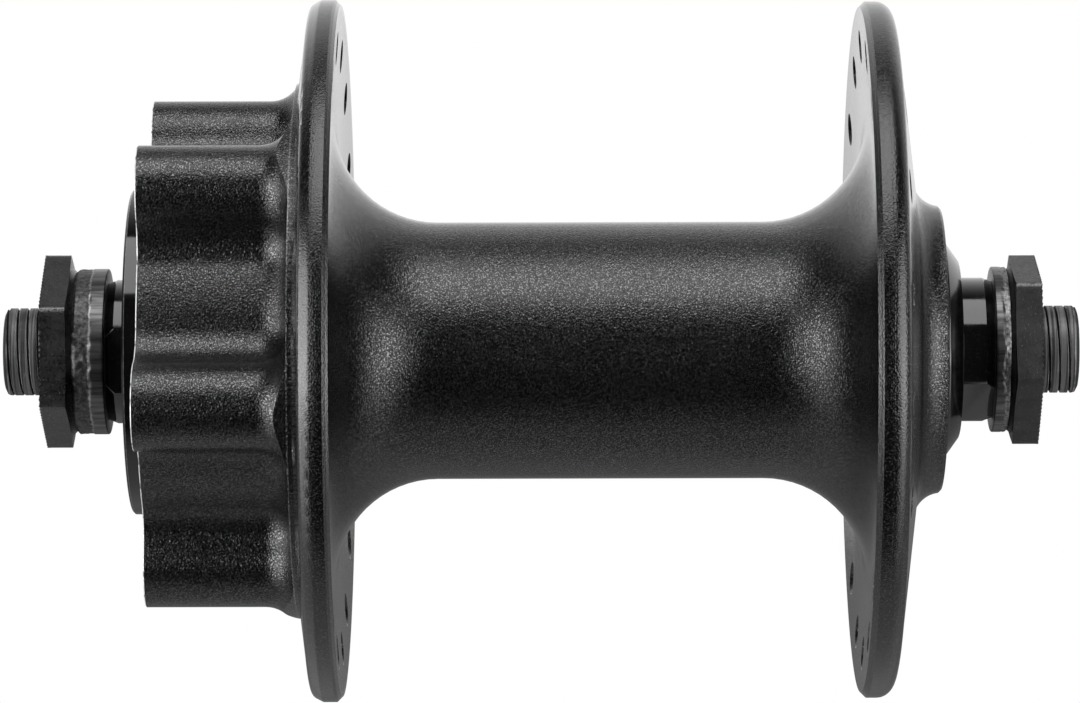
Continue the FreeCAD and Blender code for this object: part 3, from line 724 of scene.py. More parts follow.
@dataclass(frozen=True)
class SealRubber(Finish):
    """Soft matte black rubber with a bloom and a fine grain."""

    name: str = "seal_rubber"
    dark: Colour = (0.012, 0.012, 0.012)
    light: Colour = (0.03, 0.03, 0.029)
    dust: Colour = (0.25, 0.24, 0.22)
    roughness: Span = (0.6, 0.82)
    specular: float = 0.4
    grain_depth: float = 0.00002

    def paint(self, s: Surface, c: Canvas) -> None:
        """Links the nodes of this finish.

        Args:
            s: The surface to paint.
            c: Its node tree.
        """
        wear = s.handled().outputs
        fine = c.grain(s.vector, 5200.0, 3.0, 0.6)
        bloom = c.grain(s.vector, 300.0, 4.0, 0.6)
        tone = c.mix(c.ramp(bloom, 0.35, 0.7), self.dark, self.light)
        tone = c.mix(c.times(wear["Dust"], 0.3), tone, self.dust)
        s.set(Base_Color=tone, Roughness=c.ramp(fine, 0.2, 0.8, *self.roughness),
              Specular_IOR_Level=self.specular)
        s.emboss(fine, self.grain_depth, 0.7)


# Mesh work


class Bench:
    """Mesh operations that the pieces share."""

    @staticmethod
    def turn(outline: Outline, steps: int) -> bmesh.types.BMesh:
        """Spins a closed outline about the axle.

        Args:
            outline: Points as radius and place along the axle, in millimetres.
            steps: Columns round the piece.

        Returns:
            The turned mesh.
        """
        bm = bmesh.new()
        verts = [bm.verts.new((radius * MM, along * MM, 0.0)) for radius, along in outline]
        edges = [bm.edges.new(pair) for pair in zip(verts, verts[1:] + verts[:1])]
        bmesh.ops.spin(bm, geom=verts + edges, cent=(0, 0, 0), axis=AXIS, dvec=(0, 0, 0),
                       angle=2 * math.pi, steps=steps, use_merge=True, use_duplicate=False)
        bmesh.ops.remove_doubles(bm, verts=bm.verts, dist=1e-8)
        bmesh.ops.recalc_face_normals(bm, faces=bm.faces)
        return bm

    @staticmethod
    def copy_of(node: bpy.types.Object) -> bmesh.types.BMesh:
        """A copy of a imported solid's mesh, its points merged.

        Args:
            node: The solid's object.

        Returns:
            The copy.
        """
        bm = bmesh.new()
        bm.from_mesh(node.data)
        bmesh.ops.remove_doubles(bm, verts=bm.verts, dist=1e-6)
        return bm

    @staticmethod
    def sharp_edges(bm: bmesh.types.BMesh, angle: float,
                    keep: Callable[[bmesh.types.BMEdge], bool] | None = None) -> list[bmesh.types.BMEdge]:
        """The edges that turn by more than an angle.

        Args:
            bm: The mesh.
            angle: The least turn, in degrees.
            keep: A further test that an edge has to pass.

        Returns:
            The edges.
        """
        limit = math.radians(angle)
        return [e for e in bm.edges
                if e.is_manifold and e.calc_face_angle() > limit and (keep is None or keep(e))]

    @staticmethod
    def soften(bm: bmesh.types.BMesh, edges: Sequence[bmesh.types.BMEdge], width: float,
               segments: int, slot: int = -1) -> None:
        """Rounds edges by a width in millimetres, where slot -1 keeps their neighbours' material."""
        bmesh.ops.bevel(bm, geom=list(edges), offset=width * MM, offset_type="OFFSET", segments=segments,
                        profile=0.5, affect="EDGES", clamp_overlap=True, material=slot)

    @staticmethod
    def ripple(place: Vector, waves: Sequence[Span]) -> float:
        """A sum of noises at a place, each given as its size and its waves per metre."""
        return sum(size * noise.noise(place * rate) for size, rate in waves)

    @staticmethod
    def finish(bm: bmesh.types.BMesh, name: str, materials: Sequence[bpy.types.Material],
               smooth: float) -> bpy.types.Object:
        """Turns a mesh into an object with smooth shading and its materials.

        Args:
            bm: The mesh, which is freed.
            name: The object's name.
            materials: Its materials, in slot order.
            smooth: Edges that turn by more than this many degrees stay sharp.

        Returns:
            The object, linked to the scene.
        """
        mesh = bpy.data.meshes.new(name)
        bm.to_mesh(mesh)
        bm.free()
        for material in materials:
            mesh.materials.append(material)
        carried = mesh.attributes.get("custom_normal")
        if carried is not None:
            mesh.attributes.remove(carried)
        for polygon in mesh.polygons:
            polygon.use_smooth = True
        mesh.set_sharp_from_angle(angle=math.radians(smooth))
        piece = bpy.data.objects.new(name, mesh)
        bpy.context.scene.collection.objects.link(piece)
        return piece


@dataclass
class Crew:
    """What every sub-assembly works with: the frame and the finishes."""

    nodes: dict[str, bpy.types.Object]
    finishes: dict[str, bpy.types.Material]

    def dress(self, node: str, finish: str) -> None:
        """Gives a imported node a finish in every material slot.

        Args:
            node: The node's name.
            finish: The finish's name.
        """
        mesh = self.nodes[node].data
        for k in range(len(mesh.materials)):
            mesh.materials[k] = self.finishes[finish]
        log.info("dressed %s in %s", node, finish)

    def hand_over(self, piece: bpy.types.Object, body: str, slot: str, *replaced: str) -> None:
        """Puts a new piece on its body, in place of the nodes it stands for.

        Args:
            piece: The new object.
            body: The body it moves with.
            slot: The record's material slot; not used.
            replaced: The nodes it stands for.
        """
        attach(piece, body)
        if replaced:
            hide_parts(*replaced)
        log.info("made %s on %s, %d faces", piece.name, body, len(piece.data.polygons))


# Sub-assemblies


@dataclass
class Shell:
    """The shell, with bare corners on the rotor boss and threads in its six bolt holes."""

    crew: Crew
    boss_face: float = 39.5
    bare_width: float = 0.09
    bolt_circle: float = 44.0
    bolts: int = 6
    lobe_angle: float = 46.0
    thread_radius: float = 2.1
    thread_pitch: float = 0.8
    thread_depth: float = 10.0
    crest: float = 0.28
    disc_radius: float = 27.0
    disc_face: float = 24.45
    disc_rounding: float = 0.26
    rim_radius: float = 35.4
    rim_slope: float = 0.525
    rim_cut: tuple[float, float, float] = (21.95, 22.75, 23.12)
    rim_depth: float = 1.2
    rim_lift: float = 0.09
    boss_inside: float = 18.5
    hole_reach: float = 3.2
    corner_height: float = 1.8
    thread_inset: float = 0.5
    thread_half: float = 0.3
    thread_sink: float = 0.02
    thread_steps: int = 24
    body: str = "shell"

    def bolt_angles(self) -> list[float]:
        """Angles of the bolt holes, as turns about the axle from the side that faces -X."""
        return [math.radians(self.lobe_angle + 360.0 / self.bolts * k) for k in range(self.bolts)]

    def is_boss_corner(self, edge: bmesh.types.BMEdge) -> bool:
        """Tells whether an edge is on the outer outline of the boss face.

        Args:
            edge: An edge of the shell.

        Returns:
            True for an edge of the outline.
        """
        middle = (edge.verts[0].co + edge.verts[1].co) / 2
        if any(abs(v.co.y - self.boss_face * MM) > SAME_PLACE for v in edge.verts):
            return False
        if math.hypot(middle.x, middle.z) < self.boss_inside * MM:
            return False
        reach = self.bolt_circle / 2 * MM
        for angle in self.bolt_angles():
            hole = Vector((-reach * math.cos(angle), middle.y, reach * math.sin(angle)))
            if (middle - hole).length < self.hole_reach * MM:
                return False
        return True

    def is_disc_corner(self, edge: bmesh.types.BMEdge) -> bool:
        """Tells whether an edge is on the outer corner of the disc under the boss and its lobes."""
        return all(0.0 < v.co.y - (self.disc_face - 0.02) * MM < self.corner_height * MM
                   and abs(math.hypot(v.co.x, v.co.z) - self.disc_radius * MM) < 2e-5 for v in edge.verts)

    def flatten_rim(self, vert: bmesh.types.BMVert) -> None:
        """Draws a point of the disc-side rim's rounding on to the cut that runs across it.

        Args:
            vert: A point of the shell.
        """
        start, knee, end = self.rim_cut
        along, reach = vert.co.y / MM, math.hypot(vert.co.x, vert.co.z) / MM
        if reach < self.rim_radius - self.rim_depth or not start < along < end:
            return
        rounding = self.rim_radius - reach
        if along < knee:
            drop = self.rim_slope * (along - start)
        else:
            drop = rounding + self.rim_lift * (end - along) / (end - knee)
        scale = (self.rim_radius - drop) / reach
        vert.co.x *= scale
        vert.co.z *= scale

    def build_shell(self) -> None:
        """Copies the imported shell, cuts the bare corner round its boss face and eases its discs."""
        bm = Bench.copy_of(self.crew.nodes["hub_shell"])
        corners = Bench.sharp_edges(bm, 30.0, self.is_boss_corner)
        log.info("bare corner of %d edges", len(corners))
        Bench.soften(bm, corners, self.bare_width, segments=1, slot=1)
        corners = Bench.sharp_edges(bm, 30.0, self.is_disc_corner)
        log.info("disc corner of %d edges", len(corners))
        Bench.soften(bm, corners, self.disc_rounding, segments=4)
        for vert in bm.verts:
            self.flatten_rim(vert)
        materials = [self.crew.finishes["anodised_shell"], self.crew.finishes["bare_edge"]]
        piece = Bench.finish(bm, "shell_body", materials, smooth=27.0)
        self.crew.hand_over(piece, self.body, "anodised_shell", "hub_shell")

    def build_threads(self) -> None:
        """Winds the thread crests in the six bolt holes."""
        reach = self.bolt_circle / 2
        turns = self.thread_depth / self.thread_pitch
        foot = self.boss_face - self.thread_inset - self.thread_depth
        root = self.thread_radius + self.thread_sink
        points = ((root, -self.thread_half), (self.thread_radius - self.crest, 0.0), (root, self.thread_half))
        whole = bmesh.new()
        for angle in self.bolt_angles():
            centre = Vector((-reach * math.cos(angle), 0.0, reach * math.sin(angle))) * MM
            verts = [whole.verts.new(centre + Vector((r * MM, (foot + y) * MM, 0.0))) for r, y in points]
            edges = [whole.edges.new(pair) for pair in zip(verts, verts[1:])]
            bmesh.ops.spin(whole, geom=verts + edges, cent=centre, axis=AXIS,
                           dvec=(0, self.thread_pitch * MM / self.thread_steps, 0), angle=2 * math.pi * turns,
                           steps=round(self.thread_steps * turns), use_merge=False, use_duplicate=False)
        bmesh.ops.recalc_face_normals(whole, faces=whole.faces)
        piece = Bench.finish(whole, "rotor_bolt_threads", [self.crew.finishes["bore_thread"]], smooth=60.0)
        self.crew.hand_over(piece, self.body, "anodised_shell")

    def build(self) -> None:
        """Builds the shell's pieces and dresses what sits in it."""
        self.build_shell()
        self.build_threads()
        for side in Side:
            self.crew.dress(side.node("cup"), "bearing_steel")
            self.crew.dress(side.node("ball_set"), "ball_steel")
            self.crew.dress(side.node("shell_cap"), "cap_steel")


@dataclass
class Axle:
    """The hollow axle, with a rolled thread on both free ends."""

    crew: Crew
    half: float = 54.0
    radius: float = 4.4
    engaged: float = 4.175
    bore: float = 2.6
    chamfer: float = 0.55
    thread_from: float = 49.3
    pitch: float = 1.0
    groove_half: float = 0.14
    groove_depth: float = 0.26
    land_share: float = 0.5
    lead_in: float = 1.5
    end_row: float = 0.2
    step: float = 0.25
    steps: int = 96
    body: str = "axle_assembly"

    def thread(self) -> bmesh.types.BMesh:
        """Winds the thread of the disc-side end, trimmed flat and chamfered.

        Returns:
            An open sleeve from the engaged part to the end face.
        """
        bm = bmesh.new()
        start = self.thread_from - self.lead_in * self.pitch
        turns = math.ceil((self.half - start) / self.pitch) + 1
        g, flat = self.groove_half, self.pitch - 2 * self.groove_half
        points = [(self.radius, 0.0), (self.radius - self.groove_depth, g), (self.radius, 2 * g),
                  (self.radius, 2 * g + flat * self.land_share), (self.radius, self.pitch)]
        verts = [bm.verts.new((r * MM, (start + y) * MM, 0.0)) for r, y in points]
        edges = [bm.edges.new(pair) for pair in zip(verts, verts[1:])]
        bmesh.ops.spin(bm, geom=verts + edges, cent=(0, 0, 0), axis=AXIS,
                       dvec=(0, self.pitch * MM / self.steps, 0), angle=2 * math.pi * turns,
                       steps=self.steps * turns, use_merge=False, use_duplicate=False)
        bmesh.ops.remove_doubles(bm, verts=bm.verts, dist=2e-7)
        cuts = ((self.thread_from, -1), (self.half - self.chamfer, 0), (self.half - self.end_row, 0),
                (self.half, 1))
        for place, side in cuts:
            bmesh.ops.bisect_plane(bm, geom=bm.verts[:] + bm.edges[:] + bm.faces[:], dist=1e-8,
                                   plane_co=(0, place * MM, 0), plane_no=AXIS,
                                   clear_inner=side < 0, clear_outer=side > 0)
        for v in bm.verts:
            self.hold_in_chamfer(v)
        return bm

    def hold_in_chamfer(self, vert: bmesh.types.BMVert) -> None:
        """Draws a point in to the rounded corner at the axle's end.

        Args:
            vert: A point of the thread.
        """
        along = abs(vert.co.y) / MM
        past = along - (self.half - self.chamfer)
        if past <= 0:
            return
        drop = self.chamfer - math.sqrt(max(self.chamfer ** 2 - past ** 2, 0.0))
        limit = (self.radius - min(drop, self.chamfer)) * MM
        reach = math.hypot(vert.co.x, vert.co.z)
        if reach > limit:
            vert.co.x *= limit / reach
            vert.co.z *= limit / reach

    def build(self) -> None:
        """Joins both threaded ends to the hollow body."""
        bm = self.thread()
        loose = bmesh.ops.duplicate(bm, geom=bm.verts[:] + bm.edges[:] + bm.faces[:])["geom"]
        moved = [g for g in loose if isinstance(g, bmesh.types.BMVert)]
        bmesh.ops.rotate(bm, verts=moved, cent=(0, 0, 0), matrix=Matrix.Rotation(math.pi, 3, "Z"))
        half, foot = self.half, self.thread_from
        neck, inside = foot - self.step, half - self.step
        self.add_rings(bm, self.bore + self.step, half)
        self.add_rings(bm, self.engaged, neck)
        self.bridge(bm, (half, half), (-half, -half), (foot, neck), (-foot, -neck), (neck, -neck))
        self.add_rings(bm, self.bore, inside)
        self.bridge(bm, (half, inside), (-half, -inside), (inside, -inside))
        bmesh.ops.recalc_face_normals(bm, faces=bm.faces)
        holes = sum(not e.is_manifold for e in bm.edges)
        log.info("axle has %d open edges", holes)
        piece = Bench.finish(bm, "threaded_axle", [self.crew.finishes["axle_steel"]], smooth=40.0)
        self.crew.hand_over(piece, self.body, "axle_steel", "axle")

    def add_rings(self, bm: bmesh.types.BMesh, radius: float, along: float) -> None:
        """Adds a ring of edges about the axle at both ends.

        Args:
            bm: The mesh.
            radius: The rings' radius, in millimetres.
            along: Their distance from the middle, in millimetres.
        """
        for place in (along, -along):
            matrix = Matrix.Translation((0, place * MM, 0)) @ Matrix.Rotation(math.pi / 2, 4, "X")
            bmesh.ops.create_circle(bm, cap_ends=False, segments=self.steps, radius=radius * MM,
                                    matrix=matrix)

    @staticmethod
    def bridge(bm: bmesh.types.BMesh, *pairs: Span) -> None:
        """Bridges the open edges at pairs of places along the axle.

        Args:
            bm: The mesh.
            pairs: Two places in millimetres, or one place twice for the two loops that lie there.
        """
        for pair in pairs:
            edges = [e for e in bm.edges if len(e.link_faces) < 2
                     and any(all(abs(v.co.y - place * MM) < SAME_PLACE for v in e.verts) for place in pair)]
            bmesh.ops.bridge_loops(bm, edges=edges)


@dataclass
class LockNut:
    """A hexagonal lock nut with gripping teeth on its outer face."""

    crew: Crew
    side: Side
    angle: float
    finish: str = "black_oxide"
    outer_face: float = 50.0
    thickness: float = 3.2
    flats: float = 17.0
    turned_radius: float = 9.75
    seat_radius: float = 8.0
    collar_radius: float = 8.42
    chamfer: float = 0.48
    screw_radius: float = 4.205
    mouth_radius: float = 4.65
    mouth_depth: float = 0.5
    teeth: int = 96
    tooth_depth: float = 0.3
    tooth_foot: float = 6.2
    full_depth_from: float = 8.0
    inner_share: float = 0.65
    tooth_share: float = 0.75
    tooth_waves: tuple[Span, ...] = ((0.9, 900.0),)
    collar_lift: float = 0.03
    wall_row: float = 0.35
    chamfer_slope: float = 0.08
    corner_rounding: float = 0.06
    body: str = "axle_assembly"

    def reach(self, angle: float) -> float:
        """Distance from the axle to the nut's outer wall.

        Args:
            angle: Direction about the axle, in radians from the middle of a flat.

        Returns:
            The distance in millimetres.
        """
        sixth = math.pi / 3
        local = (angle + sixth / 2) % sixth - sixth / 2
        return min(self.turned_radius, self.flats / 2 / math.cos(local))

    def build(self) -> None:
        """Spins the nut, pulls it to its hexagon and presses the teeth in."""
        top, low = 0.0, -self.thickness
        foot, wall = low + self.chamfer, self.turned_radius
        outline = [(self.screw_radius, low), (self.seat_radius, low),
                   (self.collar_radius, foot - self.collar_lift), (wall, foot), (wall, top - self.wall_row),
                   (wall - 0.001, top), (self.tooth_foot, top), (self.mouth_radius, top),
                   (self.screw_radius, top - self.mouth_depth)]
        steps = 2 * self.teeth
        bm = Bench.turn(outline, steps)
        step = 2 * math.pi / steps
        for v in bm.verts:
            radius, along = math.hypot(v.co.x, v.co.z) / MM, v.co.y / MM
            angle = math.atan2(v.co.z, v.co.x)
            column = round(angle / step)
            if radius > self.turned_radius - 0.01:
                wall = self.reach(column * step)
                if along < -1.0:
                    along = low + self.chamfer + self.chamfer_slope * (wall - self.collar_radius)
                v.co.x *= wall / radius
                v.co.z *= wall / radius
                v.co.y = along * MM
            if along > -0.01 and radius > self.mouth_radius + 0.1 and column % 2:
                depth = self.tooth_depth * (1.0 if radius > self.full_depth_from else self.inner_share)
                v.co.y -= depth * MM * (self.tooth_share + Bench.ripple(v.co, self.tooth_waves))
        corners = [e for e in bm.edges if self.is_corner(e)]
        Bench.soften(bm, corners, self.corner_rounding, segments=2)
        turn = Matrix.Rotation(math.radians(self.angle + 30.0), 4, "Y")
        facing = Matrix.Rotation(0.0 if self.side is Side.DISC else math.pi, 4, "Z")
        place = turn @ facing @ Matrix.Translation((0, self.outer_face * MM, 0))
        bmesh.ops.transform(bm, matrix=place, verts=bm.verts)
        bmesh.ops.recalc_face_normals(bm, faces=bm.faces)
        materials = [self.crew.finishes[self.finish]]
        piece = Bench.finish(bm, self.side.node("toothed_nut"), materials, smooth=15.0)
        self.crew.hand_over(piece, self.body, "black_oxide", self.side.node("lock_nut"))

    def is_corner(self, edge: bmesh.types.BMEdge) -> bool:
        """Tells whether an edge runs along a corner of the hexagon.

        Args:
            edge: An edge of the nut, before it is put in place.

        Returns:
            True for a corner.
        """
        a, b = (v.co for v in edge.verts)
        if abs(a.y - b.y) < 1 * MM:
            return False
        return all(math.hypot(p.x, p.z) > (self.turned_radius - 0.05) * MM for p in (a, b))


@dataclass
class Washer:
    """A stamped washer, burnished along one part of its edge and torn along the rest."""

    crew: Crew
    side: Side
    inner_face: float
    outer_face: float
    torn_from: float
    radius: float = 8.35
    hole: float = 4.5
    roll: float = 0.12
    burr: float = 0.3
    steps: int = 320
    tear: float = 0.09
    tear_share: float = 0.75
    tear_waves: tuple[Span, ...] = ((0.9, 1500.0), (0.5, 3900.0))
    sway_waves: tuple[Span, ...] = ((0.28, 700.0), (0.12, 2300.0))
    wall_depth: float = 0.3
    ease: float = 0.1
    row: float = 0.16
    body: str = "axle_assembly"

    def build(self) -> None:
        """Spins the washer and roughens the torn part of its edge."""
        low, top = self.inner_face, self.outer_face
        outline = [(self.hole + self.ease, low)]
        for k in range(5):
            a = math.pi / 2 * k / 4
            outline.append((self.radius - self.roll * (1 - math.sin(a)), low + self.roll * (1 - math.cos(a))))
        wall = top - low - self.roll - self.burr
        rows = max(4, round(wall / self.row))
        for k in range(1, rows + 1):
            outline.append((self.radius, low + self.roll + wall * k / rows))
        outline += [(self.radius - self.burr, top), (self.hole + self.ease, top),
                    (self.hole, top - self.ease), (self.hole, low + self.ease)]
        bm = Bench.turn(outline, self.steps)
        for v in bm.verts:
            self.roughen(v)
        if self.side is Side.PLAIN:
            bmesh.ops.rotate(bm, verts=bm.verts, cent=(0, 0, 0), matrix=Matrix.Rotation(math.pi, 3, "Z"))
        bmesh.ops.recalc_face_normals(bm, faces=bm.faces)
        materials = [self.crew.finishes["washer_steel"]]
        piece = Bench.finish(bm, self.side.node("stamped_washer"), materials, smooth=40.0)
        self.crew.hand_over(piece, self.body, "washer_steel", self.side.node("washer"))

    def roughen(self, vert: bmesh.types.BMVert) -> None:
        """Sinks and roughens a point of the torn zone.

        Args:
            vert: A point of the washer.
        """
        reach = math.hypot(vert.co.x, vert.co.z)
        along = vert.co.y / MM
        if reach < (self.radius - self.wall_depth) * MM or along > self.outer_face - 0.02:
            return
        if along < self.torn_from + Bench.ripple(vert.co, self.sway_waves):
            return
        sink = self.tear * (self.tear_share + Bench.ripple(vert.co, self.tear_waves))
        scale = 1 - sink * MM / reach
        vert.co.x *= scale
        vert.co.z *= scale


@dataclass
class BearingCone:
    """A cone with rounded corners, its pressed cover and the dressing of its seal."""

    crew: Crew
    side: Side
    face: float
    cover_radius: float = 11.0
    cover_face_radius: float = 8.9
    cover_depth: float = 3.3
    slope_length: float = 1.5
    edge_width: float = 0.45
    sheet: float = 0.7
    hole: float = 7.28
    corner_rounding: float = 0.07
    bend: float = 0.16
    inner_step: float = 0.35
    steps: int = 256
    body: str = "axle_assembly"

    def build_cone(self) -> None:
        """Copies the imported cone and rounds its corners."""
        bm = Bench.copy_of(self.crew.nodes[self.side.node("cone")])
        bmesh.ops.dissolve_limit(bm, angle_limit=math.radians(0.8), use_dissolve_boundaries=False,
                                 verts=bm.verts, edges=bm.edges)
        Bench.soften(bm, Bench.sharp_edges(bm, 30.0), self.corner_rounding, segments=2, slot=1)
        materials = [self.crew.finishes["cone_steel"], self.crew.finishes["rubbed_steel"]]
        piece = Bench.finish(bm, self.side.node("ground_cone"), materials, smooth=15.0)
        self.crew.hand_over(piece, self.body, "cone_steel", self.side.node("cone"))

    def build_cover(self) -> None:
        """Spins the pressed cover with rounded bends."""
        face = self.face - self.cover_depth
        inner = face - self.sheet
        top = face - self.slope_length
        end = top - self.edge_width
        outline = [(self.hole, inner), (self.cover_face_radius - self.inner_step, inner),
                   (self.cover_radius - self.sheet, end), (self.cover_radius, end),
                   (self.cover_radius, top), (self.cover_face_radius, face), (self.hole, face)]
        bm = Bench.turn(outline, self.steps)
        Bench.soften(bm, Bench.sharp_edges(bm, 20.0), self.bend, segments=3)
        if self.side is Side.PLAIN:
            bmesh.ops.rotate(bm, verts=bm.verts, cent=(0, 0, 0), matrix=Matrix.Rotation(math.pi, 3, "Z"))
        bmesh.ops.recalc_face_normals(bm, faces=bm.faces)
        materials = [self.crew.finishes["cover_black"]]
        piece = Bench.finish(bm, self.side.node("pressed_cover"), materials, smooth=10.0)
        self.crew.hand_over(piece, self.body, "cover_black", self.side.node("cone_cover"))

    def build(self) -> None:
        """Builds the cone and its cover and dresses the seal."""
        self.build_cone()
        self.build_cover()
        self.crew.dress(self.side.node("seal_ring"), "seal_rubber")


# Studio


@dataclass(frozen=True)
class Lamp:
    """A soft lamp that faces the hub.

    Its azimuth is in degrees from the camera's side towards the disc side and its elevation in
    degrees above the axle. Its distance, width and height are in metres and its power in watts.
    """

    name: str
    azimuth: float
    elevation: float
    distance: float
    size: Span
    power: float

    def hang(self) -> None:
        """Makes the lamp and hangs it in its place."""
        data = bpy.data.lights.new(self.name, "AREA")
        data.shape = "RECTANGLE"
        data.size, data.size_y = self.size
        data.energy = self.power
        lamp = bpy.data.objects.new(self.name, data)
        rise, swing = math.radians(self.elevation), math.radians(self.azimuth)
        away = Vector((-math.cos(rise) * math.cos(swing), math.cos(rise) * math.sin(swing), math.sin(rise)))
        across = Vector((math.sin(swing), math.cos(swing), 0.0))
        matrix = Matrix((across, away.cross(across), away)).transposed().to_4x4()
        matrix.translation = away * self.distance
        lamp.matrix_world = matrix
        lamp.visible_camera = False
        bpy.context.scene.collection.objects.link(lamp)


@dataclass
class Studio:
    """Camera, pale floor, white surroundings and soft lamps."""

    distance: float = 536.7
    aside: float = -2.32
    lens: float = 177.1
    sensor: float = 36.0
    shift: Span = (-0.0226, -0.001)
    roll: float = 0.15
    clip: Span = (0.01, 20.0)
    floor_level: float = -90.0
    floor_half: float = 4.0
    surround: Span = (0.025, 0.95)
    lamps: tuple[Lamp, ...] = (
        Lamp("key", azimuth=0.0, elevation=64.0, distance=0.7, size=(0.67, 0.6), power=4.05),
        Lamp("disc_side", azimuth=57.0, elevation=2.0, distance=0.42, size=(0.46, 0.32), power=1.725),
        Lamp("plain_side", azimuth=-55.0, elevation=2.0, distance=0.42, size=(0.44, 0.32), power=1.38),
    )

    def camera(self) -> None:
        """Sets the camera square to the axle, as the photograph was taken."""
        data = bpy.data.cameras.new("camera")
        data.sensor_width = self.sensor
        data.lens = self.lens
        data.shift_x, data.shift_y = self.shift
        data.clip_start, data.clip_end = self.clip
        camera = bpy.data.objects.new("camera", data)
        tilt = math.radians(self.roll)
        right = Vector((0.0, -math.cos(tilt), -math.sin(tilt)))
        up = Vector((0.0, -math.sin(tilt), math.cos(tilt)))
        matrix = Matrix((right, up, Vector((-1.0, 0.0, 0.0)))).transposed().to_4x4()
        matrix.translation = Vector((-self.distance * MM, self.aside * MM, 0.0))
        camera.matrix_world = matrix
        bpy.context.scene.collection.objects.link(camera)
        bpy.context.scene.camera = camera

    def world(self) -> None:
        """Surrounds the hub with white that darkens towards the front."""
        world = bpy.data.worlds.new("studio")
        world.use_nodes = True
        bpy.context.scene.world = world
        world.node_tree.nodes.clear()
        c = Canvas(world.node_tree)
        towards, _, _ = c.split(c.add("TexCoord").outputs["Generated"])
        level = c.ramp(towards, -0.06, 0.85, *self.surround)
        ray = c.add("LightPath").outputs
        seen = c.most(ray["Is Camera Ray"], ray["Is Transmission Ray"])
        shaded = c.wire(c.add("Background"), Color=WHITE, Strength=level)
        white = c.wire(c.add("Background"), Color=WHITE, Strength=1.0)
        c.wire(c.add("OutputWorld"), Surface=c.blend(seen, shaded.outputs[0], white.outputs[0]))

    def paper(self) -> bpy.types.Material:
        """Makes the floor's material: pale paper, and a shaped glow in what the hub reflects.

        Returns:
            The material.
        """
        material = bpy.data.materials.new("floor")
        material.use_nodes = True
        material.node_tree.nodes.clear()
        c = Canvas(material.node_tree)
        vector = c.add("TexCoord").outputs["Object"]
        x, y, _ = c.split(vector)
        distance = c.math("SQRT", c.plus(c.times(x, x), c.times(y, y)))
        matt = c.wire(c.add("BsdfDiffuse"),
                      Color=c.mix(c.grain(vector, 900.0, 3.0), (0.76, 0.76, 0.76), (0.8, 0.8, 0.8)))
        white = c.wire(c.add("Emission"), Strength=1.0)
        under = c.times(c.ramp(x, -0.078, -0.025, 0.02, 0.65), c.ramp(x, 0.02, 0.16, 0.7, 0.28))
        swing = c.math("DIVIDE", c.minus(c.math("ABSOLUTE", y), 0.03), c.most(c.times(x, -1.0), 0.01))
        glow = c.times(c.ramp(swing, 0.5, 1.1), c.ramp(distance, 0.07, 0.22, 0.9, 2.2))
        glow = c.times(glow, c.ramp(x, -0.06, -0.01, 1.0, 0.0))
        mirror = c.wire(c.add("Emission"), Strength=c.most(under, glow))
        ray = c.add("LightPath").outputs
        seen = c.times(ray["Is Camera Ray"], c.ramp(distance, 0.14, 0.34, 0.35, 1.0))
        shown = c.blend(seen, matt.outputs[0], white.outputs[0])
        c.wire(c.add("OutputMaterial"), Surface=c.blend(ray["Is Glossy Ray"], shown, mirror.outputs[0]))
        return material

    def floor(self) -> None:
        """Lays a pale floor that fades to white away from the hub."""
        bm = bmesh.new()
        bmesh.ops.create_grid(bm, x_segments=4, y_segments=4, size=self.floor_half,
                              matrix=Matrix.Translation((0, 0, self.floor_level * MM)))
        mesh = bpy.data.meshes.new("floor")
        bm.to_mesh(mesh)
        bm.free()
        mesh.materials.append(self.paper())
        plane = bpy.data.objects.new("floor", mesh)
        bpy.context.scene.collection.objects.link(plane)

    def build(self) -> None:
        """Sets up the whole studio."""
        bpy.context.scene.view_settings.view_transform = "Standard"
        self.camera()
        self.world()
        self.floor()
        for lamp in self.lamps:
            lamp.hang()
        log.info("studio is set")


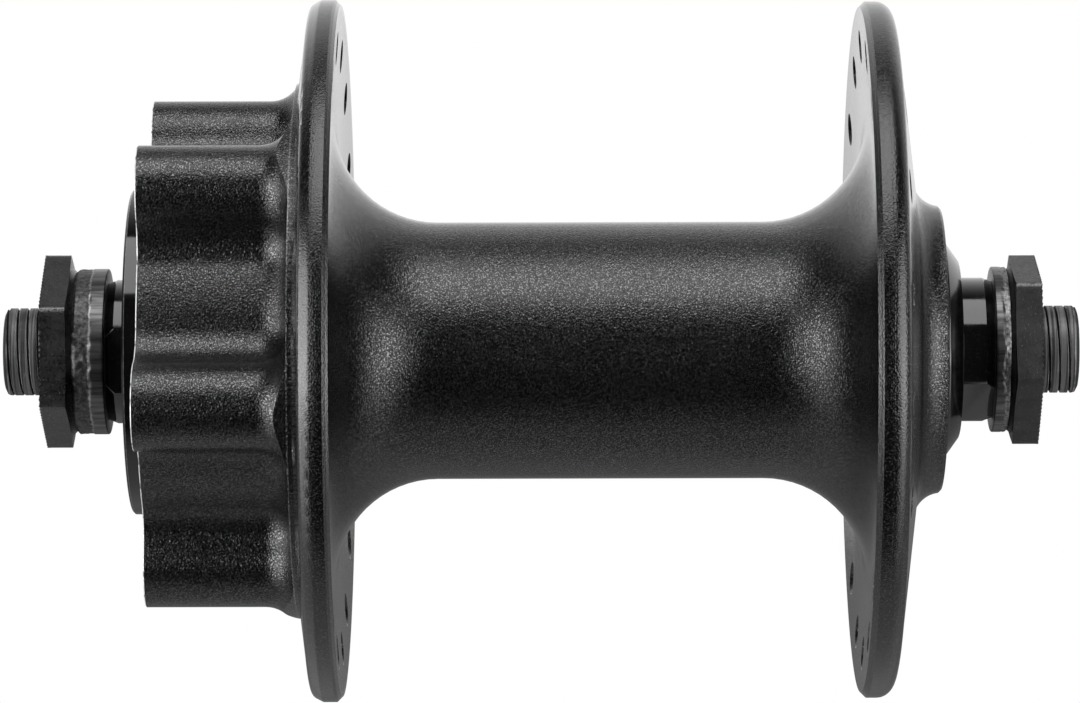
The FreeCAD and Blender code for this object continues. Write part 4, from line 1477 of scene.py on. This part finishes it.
def make_finishes() -> dict[str, bpy.types.Material]:
    """Builds every finish once.

    Returns:
        The materials by name.
    """
    recipes = (
        BlastedAnodising(),
        BareEdge(),
        OiledSteel("axle_steel", dark=(0.02, 0.02, 0.0205), light=(0.12, 0.12, 0.121), roughness=(0.38, 0.6),
                   metallic=0.5, line_fineness=17.0, line_share=0.7, grain_depth=0.00003,
                   flank=(4.335, 4.39), dull_and_shaded_from=53.3),
        OiledSteel("bore_thread", dark=(0.1, 0.1, 0.1), light=(0.3, 0.3, 0.3), roughness=(0.3, 0.5),
                   line_share=0.7),
        OiledSteel("rubbed_steel", dark=(0.006, 0.006, 0.006), light=(0.14, 0.14, 0.14),
                   roughness=(0.25, 0.45), metallic=0.6, line_share=0.1),
        StampedSteel(),
        BlackOxide(),
        BlackOxide("dull_oxide", roughness=(0.3, 0.46), pit_depth=0.00004),
        BlackGloss("cone_steel"),
        BlackGloss("cover_black", roughness=(0.14, 0.24), speck=0.1),
        BlackGloss("cap_steel", tone=(0.012, 0.012, 0.012), roughness=(0.3, 0.45), speck=0.3, coat=0.0),
        SealRubber(),
        OiledSteel("bearing_steel", dark=(0.42, 0.42, 0.42), light=(0.6, 0.6, 0.6), roughness=(0.12, 0.28),
                   line_share=0.8, oil=0.6),
        OiledSteel("ball_steel", dark=(0.66, 0.66, 0.67), light=(0.76, 0.76, 0.77), roughness=(0.04, 0.1),
                   line_share=0.1, grain_depth=0.000001, oil=0.6),
    )
    return {recipe.name: recipe.build() for recipe in recipes}


def main() -> None:
    """Loads the frame, builds each sub-assembly in order and sets the studio."""
    logging.basicConfig(level=logging.INFO, format="%(name)s: %(message)s")
    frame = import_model()
    SharedEffects().build()
    crew = Crew(frame["nodes"], make_finishes())
    Shell(crew).build()
    Axle(crew).build()
    LockNut(crew, Side.DISC, angle=25.8).build()
    LockNut(crew, Side.PLAIN, angle=41.9, finish="dull_oxide").build()
    Washer(crew, Side.DISC, inner_face=43.6, outer_face=46.8, torn_from=45.05).build()
    Washer(crew, Side.PLAIN, inner_face=45.35, outer_face=46.8, torn_from=46.2, burr=0.1).build()
    BearingCone(crew, Side.DISC, face=43.6).build()
    BearingCone(crew, Side.PLAIN, face=45.35).build()
    Studio().build()


if __name__ == "__main__":
    main()
